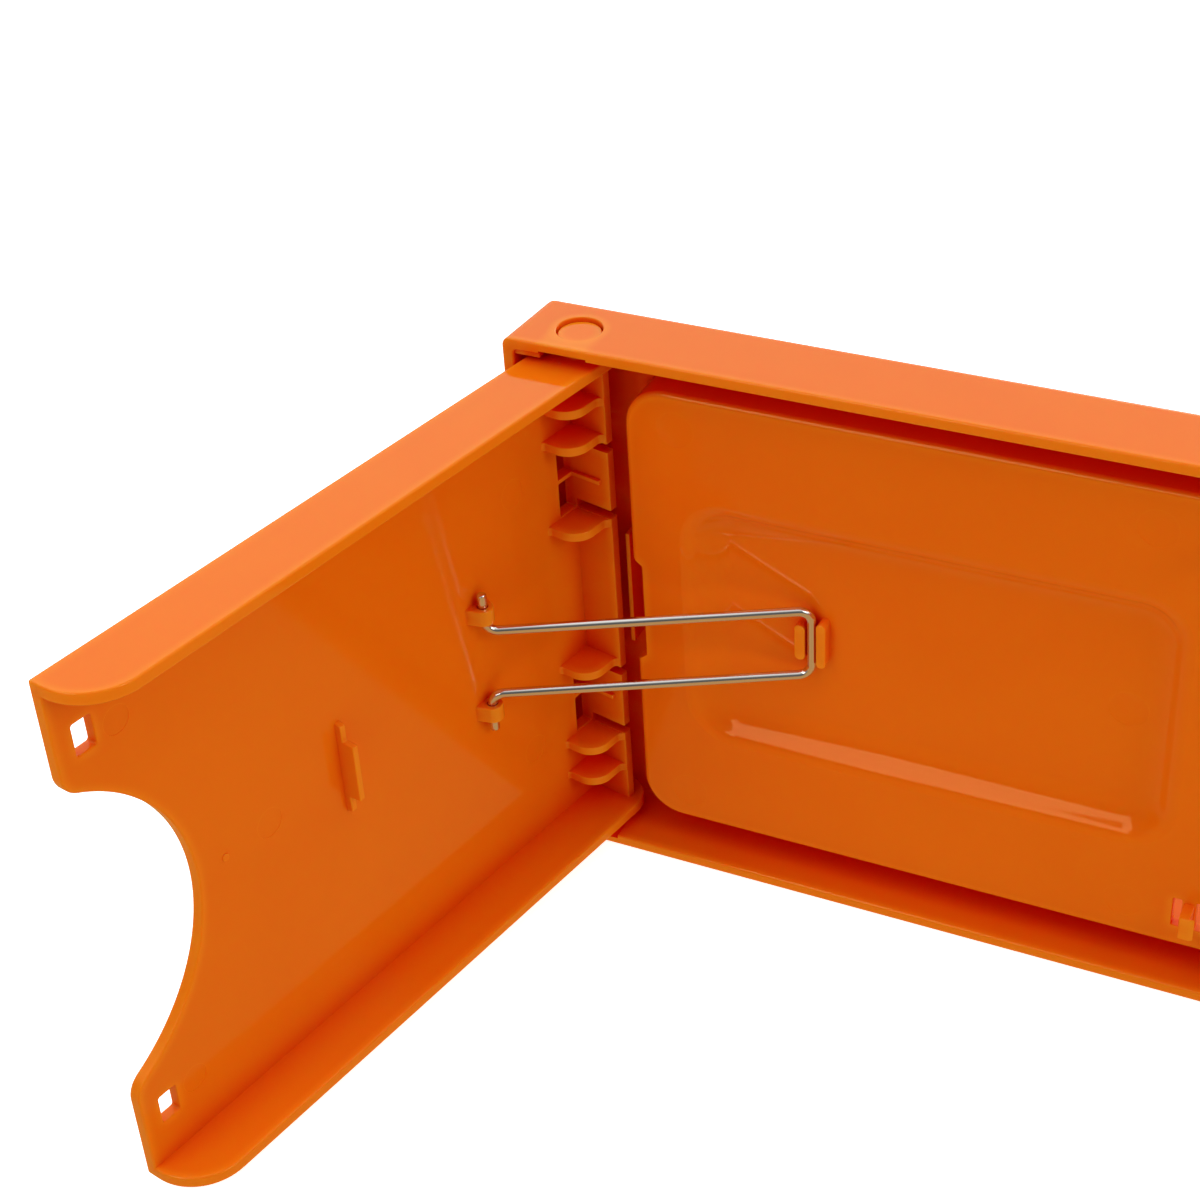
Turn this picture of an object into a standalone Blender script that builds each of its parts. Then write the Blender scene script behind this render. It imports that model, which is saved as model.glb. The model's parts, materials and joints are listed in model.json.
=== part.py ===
"""A compact folding trestle: a dished top panel with two legs that fold flat into its underside.

+Z is up and the object stands on its feet. X runs along the top, Y along the hinge axes, and the
origin is on the floor under the middle of the top. Lengths are metres.
"""

import math

import bmesh
import bpy
from mathutils import Vector

MM = 0.001

# ---- driving dimensions -------------------------------------------------------------------------
# Top panel
TOP_LENGTH = 480 * MM          # at the working face
TOP_WIDTH = 200 * MM
TOP_WALL = 3.9 * MM
END_WALL = 3.4 * MM            # thickness of an end wall at its root
END_RIM = 4 * MM               # and at its rim
END_FLARE = 2.4 * MM           # the rim of an end wall stands this far outside the working face
TOP_CORNER_R = 3 * MM
WELL_MARGIN = 35 * MM          # end of the panel to the raised floor
WELL_SIDE = 14.4 * MM          # side of the panel to the raised floor
WELL_CORNER_R = 14 * MM

# Stay pocket in the raised floor
POCKET_START = 52 * MM         # from the end of the panel
POCKET_TO_MIDDLE = 20 * MM     # other end of the pocket to the middle of the panel
POCKET_HALF_WIDTH = 49 * MM
POCKET_DEPTH = 6.5 * MM        # raised floor to the pocket's floor
POCKET_LIP_R = 7.8 * MM        # upper half of the S-shaped slope
POCKET_CORNER_R = 18 * MM

# Leg
LEG_LENGTH = 217.2 * MM        # hinge axis to the end of the foot
LEG_DEPTH = 23.3 * MM
LEG_SIDE_GAP = 3.3 * MM        # leg to the panel's side flange, at the hinge axis
LEG_FLARE = 0.0078             # the half width grows by this much per unit of length
LEG_WALL = 4.2 * MM
FOOT_CORNER_R = 18.3 * MM
ARCH_HEIGHT = 37.7 * MM        # foot to the top of the arch between the feet
ARCH_R = 62 * MM
TOE_R = 8 * MM
SPLAY_DEG = 12.5               # lean of an open leg from upright

# Hinge
KNUCKLE_GAP = 0.75 * MM        # leg's round hinge end to the skin of the panel
FOLDED_RECESS = 1.55 * MM      # a folded leg lies this far inside the rim
FOLDED_GAP = 1.85 * MM         # a folded leg to the raised floor
STOP_GAP = 2.14 * MM           # an open leg to the rim of the end wall, which backs up the stay
TRUNNION_D = 14.2 * MM
HINGE_CLEARANCE = 0.3 * MM     # all round the trunnion
TRUNNION_RECESS = 1.3 * MM     # the trunnion ends this far inside the flange's outer face

# Wire stay
WIRE_D = 3.2 * MM
STAY_HALF_WIDTH = 12.7 * MM    # centre of each arm from the middle
STAY_FOOT = 27.3 * MM          # end of each pivot foot from the middle
STAY_BEND_R = 4.4 * MM         # centreline radius of the bends
PIVOT_ALONG = 52 * MM          # hinge axis to the stay's pivot, along the leg
PIVOT_UP = 7.2 * MM            # outer face of the leg to the stay's pivot
CLIP_X = 96.6 * MM             # end of the panel to the cross bar, when clipped
CLIP_LIFT = 2.9 * MM           # pocket's floor to the middle of the cross bar, when clipped
CLIP_RIB_HEIGHT = 4.6 * MM
FIT = 0.3 * MM                 # clearance at the clip and the stow rib
BORE_CLEARANCE = 0.3 * MM      # all round the wire in its lugs

# Latch that holds a folded leg
HOLE_TO_FOOT = 13.9 * MM       # near side of the latch hole to the end of the foot
HOLE_LENGTH = 6.9 * MM
HOLE_IN = 65.9 * MM            # middle of the leg to the inner side of the hole
HOLE_WIDTH = 10.4 * MM
GATE_TO_ARCH = 10.9 * MM       # mould's gate mark to the top of the arch
HOOK_GAP = 0.8 * MM

# Knuckle at the hinge end of the leg
WEB_INNER = -1.0 * MM          # inner face of the end web, along the leg from the hinge axis
WEB_THICKNESS = 3.5 * MM
WEB_HEIGHT = 18.8 * MM         # outer face of the leg to the rim of the web
GUSSET_ALONG = 14.4 * MM
GUSSET_UP = 12.6 * MM
GUSSET_R = 7.5 * MM
GUSSET_THICKNESS = 3.2 * MM
GUSSETS_AT = (28.5 * MM, 61.2 * MM, 74.8 * MM)
RIB_AT, RIB_THICKNESS = 44 * MM, 1.6 * MM
WINDOW_ALONG = 8.1 * MM        # openings in the leg's panel between the first two gussets
SLOT_WIDTH = 3.4 * MM          # on both sides of the tongues in the web
ARC = 5                        # facets in a quarter turn of a small radius

WALL_OVERLAP = 0.6 * MM        # how far joined shapes run into each other


# ---- helpers ------------------------------------------------------------------------------------
def material(name, colour, metallic=0.0, roughness=0.35):
    """A Principled material."""
    made = bpy.data.materials.new(name)
    made.use_nodes = True
    shader = made.node_tree.nodes["Principled BSDF"]
    shader.inputs["Base Color"].default_value = (*colour, 1)
    shader.inputs["Metallic"].default_value = metallic
    shader.inputs["Roughness"].default_value = roughness
    made.diffuse_color = (*colour, 1)
    return made


def from_bmesh(name, shape):
    """An object from a bmesh, with its normals facing out."""
    bmesh.ops.remove_doubles(shape, verts=shape.verts, dist=1e-7)
    bmesh.ops.recalc_face_normals(shape, faces=shape.faces)
    mesh = bpy.data.meshes.new(name)
    shape.to_mesh(mesh)
    shape.free()
    made = bpy.data.objects.new(name, mesh)
    bpy.context.scene.collection.objects.link(made)
    return made


def loft(name, rings):
    """A closed solid through rings of equally many points, capped at both ends."""
    shape = bmesh.new()
    rows = [[shape.verts.new(point) for point in ring] for ring in rings]
    count = len(rows[0])
    for low, high in zip(rows, rows[1:]):
        for i in range(count):
            j = (i + 1) % count
            shape.faces.new((low[i], low[j], high[j], high[i]))
    shape.faces.new(rows[0])
    shape.faces.new(rows[-1])
    return from_bmesh(name, shape)


def prism(name, outline, place, low, high):
    """A solid between two copies of a 2-D outline; place maps (a, b, height) to a point."""
    return loft(name, [[place(a, b, h) for a, b in outline] for h in (low, high)])


def box(name, low, high):
    """A block between two corners."""
    (x0, y0, z0), (x1, y1, z1) = low, high
    return loft(name, [[(x0, y0, z), (x1, y0, z), (x1, y1, z), (x0, y1, z)] for z in (z0, z1)])


def arc(centre, radius, start, end, steps):
    """Points on a circle from one angle to another, in degrees, both ends included."""
    angles = [math.radians(start + (end - start) * i / steps) for i in range(steps + 1)]
    return [(centre[0] + radius * math.cos(t), centre[1] + radius * math.sin(t)) for t in angles]


def rounded(half_x, half_y, radius, z, mid_x=0.0, steps=ARC):
    """A ring round a rectangle with rounded corners."""
    ring = []
    for sx, sy, start in ((1, 1, 0), (-1, 1, 90), (-1, -1, 180), (1, -1, 270)):
        centre = (mid_x + sx * (half_x - radius), sy * (half_y - radius))
        ring += [(x, y, z) for x, y in arc(centre, radius, start, start + 90, steps)]
    return ring


def fillet(offset, depth, radius, start, end, steps=3):
    """(offset, depth) pairs round a fillet whose centre is given."""
    return arc((offset, depth), radius, start, end, steps)


def fuse(base, adds=(), cuts=()):
    """Joins the adds to the base, and then takes the cuts away."""
    for pieces, operation in ((adds, "UNION"), (cuts, "DIFFERENCE")):
        for piece in pieces:
            step = base.modifiers.new(f"{operation.lower()}_{piece.name}", "BOOLEAN")
            step.operation = operation
            step.solver = "EXACT"
            step.object = piece
            piece.hide_render = True
            piece.display_type = "WIRE"
    return base


def attach(helpers, owner):
    """Helpers move with the node that they shape."""
    for helper in helpers:
        helper.parent = owner


# ---- derived places -----------------------------------------------------------------------------
SPLAY = math.radians(SPLAY_DEG)
AXIS_UP = LEG_DEPTH / 2        # outer face of the leg to the hinge axis
LEG_HALF_WIDTH = TOP_WIDTH / 2 - TOP_WALL - LEG_SIDE_GAP
ARCH_TOP = LEG_LENGTH - ARCH_HEIGHT
HOLE_START = LEG_LENGTH - HOLE_TO_FOOT
# Depths below the working face, each set by what must fit inside it with the leg folded.
HINGE_DROP = TOP_WALL + KNUCKLE_GAP + AXIS_UP
TOP_DEPTH = HINGE_DROP + AXIS_UP + FOLDED_RECESS
WELL_FLOOR = HINGE_DROP + AXIS_UP - LEG_WALL - FOLDED_GAP
POCKET_FLOOR = WELL_FLOOR - POCKET_DEPTH
CLIP_DROP = POCKET_FLOOR + CLIP_LIFT
CLIP_RIB_TOP = POCKET_FLOOR + CLIP_RIB_HEIGHT
# The open leg stands just clear of the end wall's inner rim, which sets how far in the hinge is.
HINGE_INSET = END_RIM - END_FLARE + STOP_GAP + (
    AXIS_UP + (TOP_DEPTH - HINGE_DROP) * math.sin(SPLAY)
) / math.cos(SPLAY)
POCKET_END = TOP_LENGTH / 2 - POCKET_TO_MIDDLE
TOE_CENTRE = (LEG_LENGTH - FOOT_CORNER_R, LEG_DEPTH - FOOT_CORNER_R)
REACH = (
    TOE_CENTRE[0] * math.cos(SPLAY)
    + (TOE_CENTRE[1] - AXIS_UP) * math.sin(SPLAY)
    + FOOT_CORNER_R
)                              # how far the foot hangs below the hinge axis
HEIGHT = HINGE_DROP + REACH
HALF_LENGTH, HALF_WIDTH = TOP_LENGTH / 2, TOP_WIDTH / 2
HINGE_X = HALF_LENGTH - HINGE_INSET
HINGE_Z = HEIGHT - HINGE_DROP
TRUNNION_END = HALF_WIDTH - TRUNNION_RECESS


def top_z(depth):
    """World height of a depth below the working face."""
    return HEIGHT - depth


def leg_point(along, up, across):
    """A point of the leg in its own frame, whose origin is on the hinge axis."""
    return (up - AXIS_UP, across, -along)


# ---- top panel ----------------------------------------------------------------------------------
def panel_shell():
    """Side flanges, end walls, working face and the raised floor, as one skin of even thickness."""
    out, inn = (HALF_LENGTH, HALF_WIDTH), (HALF_LENGTH - END_WALL, HALF_WIDTH - TOP_WALL)
    rim_out = (HALF_LENGTH + END_FLARE, HALF_WIDTH)
    rim_inn = (rim_out[0] - END_RIM, inn[1])
    well = (HALF_LENGTH - WELL_MARGIN, HALF_WIDTH - WELL_SIDE)
    dish = (well[0] - TOP_WALL, well[1] - TOP_WALL)
    dish_floor = WELL_FLOOR - TOP_WALL
    soft, lip, edge, rim, root = 3 * MM, 2 * MM, 3 * MM, 0.8 * MM, 1.6 * MM
    rings = []

    def add(base, radius, pairs):
        for offset, depth in pairs:
            rings.append(
                rounded(base[0] + offset, base[1] + offset, max(radius + offset, 0.5 * MM), top_z(depth))
            )

    dish_r = WELL_CORNER_R - TOP_WALL
    add(dish, dish_r, fillet(-soft, dish_floor - soft, soft, 90, 0))
    add(dish, dish_r, fillet(lip, lip, lip, 180, 270))
    add(out, TOP_CORNER_R, fillet(-edge, edge, edge, -90, 0))
    add(rim_out, TOP_CORNER_R, fillet(-rim, TOP_DEPTH - rim, rim, 0, 90, 2))
    inner_r = 1.2 * MM
    add(rim_inn, inner_r, fillet(rim, TOP_DEPTH - rim, rim, 90, 180, 2))
    add(inn, inner_r, fillet(-root, TOP_WALL + root, root, 0, -90, 2))
    add(well, WELL_CORNER_R, fillet(root, TOP_WALL + root, root, -90, -180, 2))
    add(well, WELL_CORNER_R, fillet(-lip, WELL_FLOOR - lip, lip, 0, 90))
    return loft("top_panel", rings)


def pocket_parts(side):
    """(island, cutter): the pocket's skin in the dish, and the hollow itself."""
    mid = side * (HALF_LENGTH - (POCKET_START + POCKET_END) / 2)
    half = (POCKET_END - POCKET_START) / 2
    tag = "left" if side < 0 else "right"

    def rings(pairs):
        made = []
        for offset, depth in pairs:
            radius = max(POCKET_CORNER_R + offset, 1 * MM)
            size = (half + offset, POCKET_HALF_WIDTH + offset)
            made.append(rounded(*size, radius, top_z(depth), mid))
        return made

    # Each slope is an S: 45 degrees round the lip, and then 45 degrees into the pocket's floor.
    turn = math.radians(45)
    both = POCKET_DEPTH / (1 - math.cos(turn))
    lip = (0.0, WELL_FLOOR - POCKET_LIP_R)
    foot_r = both - POCKET_LIP_R
    foot = (-both * math.sin(turn), POCKET_FLOOR + foot_r)
    cutter = loft(
        f"pocket_{tag}",
        rings(
            [(0.3 * MM, WELL_FLOOR + 1 * MM)]
            + arc(lip, POCKET_LIP_R, 96, 135, 3)
            + arc(foot, foot_r, -60, -90, 2)
        ),
    )
    island = loft(
        f"island_{tag}",
        rings(
            [(0.4 * MM, WELL_FLOOR - 1.2 * MM), (0.2 * MM, WELL_FLOOR - TOP_WALL + 0.2 * MM)]
            + arc(lip, POCKET_LIP_R - TOP_WALL, 98, 135, 2)
            + arc(foot, foot_r + TOP_WALL, -60, -90, 2)
        ),
    )
    return island, cutter


def panel_details(side):
    """(adds, cuts) at one end of the panel."""
    tag = "left" if side < 0 else "right"
    adds, cuts = [], []

    def end_x(inset):
        return side * (HALF_LENGTH - inset)

    def block(name, x0, x1, y0, y1, d0, d1):
        xs, ys = sorted((end_x(x0), end_x(x1))), sorted((y0, y1))
        return box(f"{name}_{tag}", (xs[0], ys[0], top_z(d1)), (xs[1], ys[1], top_z(d0)))

    # Clip ribs for the stay's cross bar, rounded at their ends.
    radius = WIRE_D / 2 + FIT
    for name, start, width, half in (
        ("clip_inner", CLIP_X - radius - 3.7 * MM, 3.7 * MM, 6.9 * MM),
        ("clip_outer", CLIP_X + radius, 3.3 * MM, 8.7 * MM),
    ):
        middle, round_r = start + width / 2, width / 2
        outline = arc((middle, half - round_r), round_r, 0, 180, 6) + arc(
            (middle, -half + round_r), round_r, 180, 360, 6
        )
        adds.append(
            prism(
                f"{name}_{tag}",
                outline,
                lambda a, b, h: (end_x(a), b, top_z(h)),
                POCKET_FLOOR - WALL_OVERLAP,
                CLIP_RIB_TOP,
            )
        )

    # Notch in the end of the raised floor, backed up inside the dish, and the stop tab before it.
    notch, notch_half = 3.7 * MM, 21 * MM
    adds.append(
        block(
            "notch_back",
            WELL_MARGIN + 1 * MM,
            WELL_MARGIN + notch + TOP_WALL,
            -notch_half - TOP_WALL,
            notch_half + TOP_WALL,
            3 * MM,
            WELL_FLOOR - TOP_WALL + WALL_OVERLAP,
        )
    )
    slant, face, floor = 3 * MM, WELL_MARGIN - 1 * MM, WELL_MARGIN + notch
    wide = notch_half + slant * 1 * MM / notch
    cuts.append(
        prism(
            f"notch_{tag}",
            [(face, wide), (floor, notch_half - slant), (floor, slant - notch_half), (face, -wide)],
            lambda a, b, h: (end_x(a), b, top_z(h)),
            TOP_WALL + 1.8 * MM,
            WELL_FLOOR + 1 * MM,
        )
    )
    adds.append(
        block("stop_tab", 27.7 * MM, 29.3 * MM, -22 * MM, 22 * MM, TOP_WALL - WALL_OVERLAP, 11.4 * MM)
    )

    hole_x = HINGE_INSET + HOLE_START
    for half in (-1, 1):
        near, far = half * (HALF_WIDTH - TOP_WALL), half * (HALF_WIDTH + 1 * MM)
        name = f"{'back' if half > 0 else 'front'}"
        # Hinge bore through the side flange.
        bore = TRUNNION_D / 2 + HINGE_CLEARANCE
        cuts.append(
            prism(
                f"bore_{name}_{tag}",
                arc((0, 0), bore, 0, 360 - 360 / 32, 31),
                lambda a, b, h: (end_x(HINGE_INSET) + a, h, HINGE_Z + b),
                *sorted((near - half * 1.5 * MM, far)),
            )
        )
        # Lead-in groove from the rim to the bore, on the flange's inner face.
        groove, deep = 8.2 * MM, 1.2 * MM
        outline = arc((0, 0), groove, 0, 180, 12) + [(-groove, -20 * MM), (groove, -20 * MM)]
        cuts.append(
            prism(
                f"groove_{name}_{tag}",
                outline,
                lambda a, b, h: (end_x(HINGE_INSET) + a, h, HINGE_Z + b),
                *sorted((near - half * 1 * MM, near + half * deep)),
            )
        )
        # Guide lug beside the groove.
        adds.append(
            block(
                f"guide_{name}",
                END_RIM - END_FLARE - WALL_OVERLAP,
                HINGE_INSET - groove,
                near - half * 1.9 * MM,
                near + half * WALL_OVERLAP,
                21.5 * MM,
                TOP_DEPTH - 1 * MM,
            )
        )
        # Hook for the folded leg, between its two windows.
        y0 = half * (HOLE_IN + HOOK_GAP)
        y1 = half * (HOLE_IN + HOLE_WIDTH - HOOK_GAP)
        stem0 = hole_x + HOLE_LENGTH - HOOK_GAP - 3.4 * MM
        stem1 = hole_x + HOLE_LENGTH - HOOK_GAP
        plate = HINGE_DROP + AXIS_UP        # depth of the folded leg's outer face
        tip = TOP_DEPTH - 0.3 * MM
        nose = plate + 0.35 * MM
        outline = [
            (stem0, WELL_FLOOR - WALL_OVERLAP),
            (stem1, WELL_FLOOR - WALL_OVERLAP),
            (stem1, nose),
            (stem1 + 1.7 * MM, nose + 0.2 * MM),
            (stem1 + 0.4 * MM, tip),
            (stem0 + 0.5 * MM, tip),
            (stem0, tip - 0.6 * MM),
        ]
        adds.append(
            prism(
                f"hook_{name}_{tag}",
                outline,
                lambda a, b, h: (end_x(a), h, top_z(b)),
                *sorted((y0, y1)),
            )
        )
        for label, x0, x1 in (
            ("near", hole_x - 0.9 * MM, stem0 - 0.7 * MM),
            ("far", stem1 + 0.5 * MM, stem1 + 8 * MM),
        ):
            cuts.append(
                block(
                    f"window_{label}_{name}",
                    x0,
                    x1,
                    half * (HOLE_IN - 0.2 * MM),
                    half * (HOLE_IN + HOLE_WIDTH + 0.8 * MM),
                    WELL_FLOOR - TOP_WALL - 2 * MM,
                    WELL_FLOOR + 1 * MM,
                )
            )
    return adds, cuts


def build_top(finish):
    """The top panel as one moulding."""
    panel = panel_shell()
    islands, pockets, adds, cuts = [], [], [], []
    for side in (-1, 1):
        island, pocket = pocket_parts(side)
        more, less = panel_details(side)
        islands.append(island)
        pockets.append(pocket)
        adds += more
        cuts += less
    fuse(panel, islands, pockets)
    fuse(panel, adds, cuts)
    panel.data.materials.append(finish)
    return panel


# ---- leg ----------------------------------------------------------------------------------------
def half_width(along):
    """Half the leg's width at a distance from the hinge axis."""
    return LEG_HALF_WIDTH + LEG_FLARE * along


def leg_outline():
    """The leg's flat panel as (along, across), with the arch between the feet."""
    start, end = WEB_INNER - WEB_THICKNESS, LEG_LENGTH
    centre = ARCH_TOP + ARCH_R
    # The toe's fillet touches the arch on its outside and the foot's end edge.
    toe_along = end - TOE_R
    toe_across = math.sqrt((ARCH_R + TOE_R) ** 2 - (centre - toe_along) ** 2)
    touch = math.degrees(math.atan2(toe_across, toe_along - centre))
    side = [(start, half_width(start) - LEG_WALL / 2), (end, half_width(end) - LEG_WALL / 2)]
    toe = arc((toe_along, toe_across), TOE_R, 0, touch - 180, ARC)
    arch = arc((centre, 0), ARCH_R, touch, 180, 10)
    upper = side + toe + arch[1:]
    return upper + [(a, -b) for a, b in reversed(upper[:-1])]


def flange_outline():
    """A side flange as (along, up): round at the hinge, and rounded at the foot."""
    return (
        arc((0, AXIS_UP), AXIS_UP, 90, 270, 16)
        + [(LEG_LENGTH, 0.0)]
        + arc(TOE_CENTRE, FOOT_CORNER_R, 0, 90, 8)
    )


def gusset_outline():
    """A gusset between the panel and the web as (along, up), flared where it meets each of them."""
    along, up = WEB_INNER + GUSSET_ALONG, LEG_WALL + GUSSET_UP
    low, high = 1.2 * MM, WEB_HEIGHT - up
    return (
        [(WEB_INNER - WALL_OVERLAP, LEG_WALL - WALL_OVERLAP), (along + low, LEG_WALL - WALL_OVERLAP)]
        + arc((along + low, LEG_WALL + low), low, 270, 180, 2)
        + arc((along - GUSSET_R, up - GUSSET_R), GUSSET_R, 0, 90, 6)
        + arc((WEB_INNER + high, WEB_HEIGHT), high, 270, 180, 3)[:-1]
        + [(WEB_INNER, WEB_HEIGHT - 0.05 * MM), (WEB_INNER - WALL_OVERLAP, WEB_HEIGHT - 0.05 * MM)]
    )


def build_leg(tag, finish):
    """One leg in its own frame: origin on the hinge axis, hanging down -Z, outer face at -X."""
    outline = leg_outline()
    leg = prism(f"leg_{tag}", outline, lambda a, b, h: leg_point(a, h, b), 0.0, LEG_WALL)
    adds, cuts = [], []
    for half, name in ((1, "back"), (-1, "front")):
        rows = []
        for inward in (0.0, LEG_WALL):
            rows.append(
                [leg_point(a, u, half * (half_width(a) - inward)) for a, u in flange_outline()]
            )
        adds.append(loft(f"flange_{name}_{tag}", rows))
        adds.append(
            prism(
                f"trunnion_{name}_{tag}",
                arc((0, 0), TRUNNION_D / 2, 0, 360 - 360 / 32, 31),
                lambda a, b, h: (a, h, b),
                *sorted((half * (LEG_HALF_WIDTH - 2 * MM), half * TRUNNION_END)),
            )
        )
        for i, at in enumerate(GUSSETS_AT):
            profile = gusset_outline()
            adds.append(
                prism(
                    f"gusset_{name}_{i}_{tag}",
                    profile,
                    lambda a, b, h: leg_point(a, b, h),
                    *sorted((half * (at - GUSSET_THICKNESS / 2), half * (at + GUSSET_THICKNESS / 2))),
                )
            )
        # Low rib on the web, in line with the bar between the two windows.
        low, rib_top = 1.4 * MM, 15.5 * MM
        rib = [
            (WEB_INNER - WALL_OVERLAP, LEG_WALL - WALL_OVERLAP),
            (WEB_INNER + low, LEG_WALL - WALL_OVERLAP),
            (WEB_INNER + low, rib_top),
            (WEB_INNER - WALL_OVERLAP, rib_top),
        ]
        adds.append(
            prism(
                f"corner_rib_{name}_{tag}",
                rib,
                lambda a, b, h: leg_point(a, b, h),
                *sorted(
                    (half * (RIB_AT - RIB_THICKNESS / 2), half * (RIB_AT + RIB_THICKNESS / 2))
                ),
            )
        )
        # Slots that free a tongue of the web, and the windows in the panel below it.
        clear = GUSSET_THICKNESS / 2 + 0.3 * MM
        near, far = GUSSETS_AT[0] + clear, GUSSETS_AT[1] - clear
        slot = [
            (WEB_INNER - WEB_THICKNESS - 1 * MM, LEG_WALL + 0.3 * MM),
            (WEB_INNER + 0.6 * MM, LEG_WALL + 0.3 * MM),
            (WEB_INNER + 0.6 * MM, WEB_HEIGHT + 1 * MM),
            (WEB_INNER - WEB_THICKNESS - 1 * MM, WEB_HEIGHT + 1 * MM),
        ]
        window = [
            (WEB_INNER, -1 * MM),
            (WEB_INNER + WINDOW_ALONG, -1 * MM),
            (WEB_INNER + WINDOW_ALONG, LEG_WALL + 1 * MM),
            (WEB_INNER, LEG_WALL + 1 * MM),
        ]
        for label, profile, y0, y1 in (
            ("slot_near", slot, near, near + SLOT_WIDTH),
            ("slot_far", slot, far - SLOT_WIDTH, far),
            ("window_near", window, near + 0.3 * MM, RIB_AT - RIB_THICKNESS / 2),
            ("window_far", window, RIB_AT + RIB_THICKNESS / 2, far - 0.3 * MM),
        ):
            cuts.append(
                prism(
                    f"{label}_{name}_{tag}",
                    profile,
                    lambda a, b, h: leg_point(a, b, h),
                    *sorted((half * y0, half * y1)),
                )
            )
        # Latch hole in the foot.
        cuts.append(
            prism(
                f"latch_hole_{name}_{tag}",
                [
                    (HOLE_START, -1 * MM),
                    (HOLE_START + HOLE_LENGTH, -1 * MM),
                    (HOLE_START + HOLE_LENGTH, LEG_WALL + 1 * MM),
                    (HOLE_START, LEG_WALL + 1 * MM),
                ],
                lambda a, b, h: leg_point(a, b, h),
                *sorted((half * HOLE_IN, half * (HOLE_IN + HOLE_WIDTH))),
            )
        )
        # Lug and bore for the stay's pivot foot.
        foot_r = 3.6 * MM
        lug = (
            [(PIVOT_ALONG + 5.2 * MM, LEG_WALL - WALL_OVERLAP)]
            + arc((PIVOT_ALONG, PIVOT_UP), foot_r, 20, 160, 8)
            + [(PIVOT_ALONG - 5.2 * MM, LEG_WALL - WALL_OVERLAP)]
        )
        adds.append(
            prism(
                f"lug_{name}_{tag}",
                lug,
                lambda a, b, h: leg_point(a, b, h),
                *sorted((half * 16.6 * MM, half * 22.4 * MM)),
            )
        )
        cuts.append(
            prism(
                f"lug_bore_{name}_{tag}",
                arc((PIVOT_ALONG, PIVOT_UP), WIRE_D / 2 + BORE_CLEARANCE, 0, 360 - 22.5, 15),
                lambda a, b, h: leg_point(a, b, h),
                *sorted((half * 15 * MM, half * 24 * MM)),
            )
        )
    # End web that closes the knuckle, with its outer corner rounded.
    back, corner = WEB_INNER - WEB_THICKNESS, 3.2 * MM
    web = [(back, WEB_HEIGHT), (WEB_INNER, WEB_HEIGHT), (WEB_INNER, 1 * MM), (back, 1 * MM)]
    reach = LEG_HALF_WIDTH - LEG_WALL + WALL_OVERLAP
    adds.insert(0, prism(f"web_{tag}", web, lambda a, b, h: leg_point(a, b, h), -reach, reach))
    shave = (
        [(back - 1 * MM, -1 * MM), (back + corner, -1 * MM)]
        + arc((back + corner, corner), corner, 270, 180, 4)
        + [(back - 1 * MM, corner)]
    )
    cuts.append(
        prism(
            f"shave_{tag}",
            shave,
            lambda a, b, h: leg_point(a, b, h),
            -LEG_HALF_WIDTH + LEG_WALL,
            LEG_HALF_WIDTH - LEG_WALL,
        )
    )
    # Stow rib: a tall middle that fits between the stay's arms, and low shoulders under them.
    stow, thick = 117.7 * MM, 2.2 * MM
    tall, shoulder = STAY_HALF_WIDTH - WIRE_D / 2 - FIT, 17.5 * MM
    shape = [
        (-shoulder, LEG_WALL - WALL_OVERLAP),
        (shoulder, LEG_WALL - WALL_OVERLAP),
        (shoulder - 0.8 * MM, LEG_WALL + 2.4 * MM),
        (tall + 0.1 * MM, LEG_WALL + 2.4 * MM),
        (tall - 0.3 * MM, LEG_WALL + 6.7 * MM),
        (-tall + 0.3 * MM, LEG_WALL + 6.7 * MM),
        (-tall - 0.1 * MM, LEG_WALL + 2.4 * MM),
        (-shoulder + 0.8 * MM, LEG_WALL + 2.4 * MM),
    ]
    adds.append(
        prism(
            f"stow_rib_{tag}",
            shape,
            lambda a, b, h: leg_point(h, b, a),
            stow - thick / 2,
            stow + thick / 2,
        )
    )
    # Gate mark left by the mould.
    adds.append(
        prism(
            f"gate_{tag}",
            arc((ARCH_TOP - GATE_TO_ARCH, 0), 1.3 * MM, 0, 330, 11),
            lambda a, b, h: leg_point(a, h, b),
            LEG_WALL - WALL_OVERLAP,
            LEG_WALL + 0.5 * MM,
        )
    )
    fuse(leg, adds, cuts)
    attach(adds + cuts, leg)
    leg.data.materials.append(finish)
    return leg


# ---- wire stay ----------------------------------------------------------------------------------
def stay_path():
    """The wire's centreline as (along, across), the pivot at 0 and the cross bar at its length."""
    arm = stay_length()
    bend, half = STAY_BEND_R, STAY_HALF_WIDTH
    points = [(0.0, STAY_FOOT)]
    points += arc((bend, half + bend), bend, 180, 270, 6)
    points += arc((arm - bend, half - bend), bend, 90, 0, 6)
    return points + [(a, -b) for a, b in reversed(points)]


def clip_place():
    """(distance from the end, depth) of the stay's pivot with the leg open."""
    up = PIVOT_UP - AXIS_UP
    x = HINGE_INSET - PIVOT_ALONG * math.sin(SPLAY) + up * math.cos(SPLAY)
    depth = HINGE_DROP + PIVOT_ALONG * math.cos(SPLAY) + up * math.sin(SPLAY)
    return x, depth


def stay_length():
    """Pivot to cross bar, centre to centre."""
    x, depth = clip_place()
    return math.hypot(CLIP_X - x, CLIP_DROP - depth)


def stay_rise():
    """Angle of an open stay above level."""
    x, depth = clip_place()
    return math.atan2(depth - CLIP_DROP, CLIP_X - x)


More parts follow.
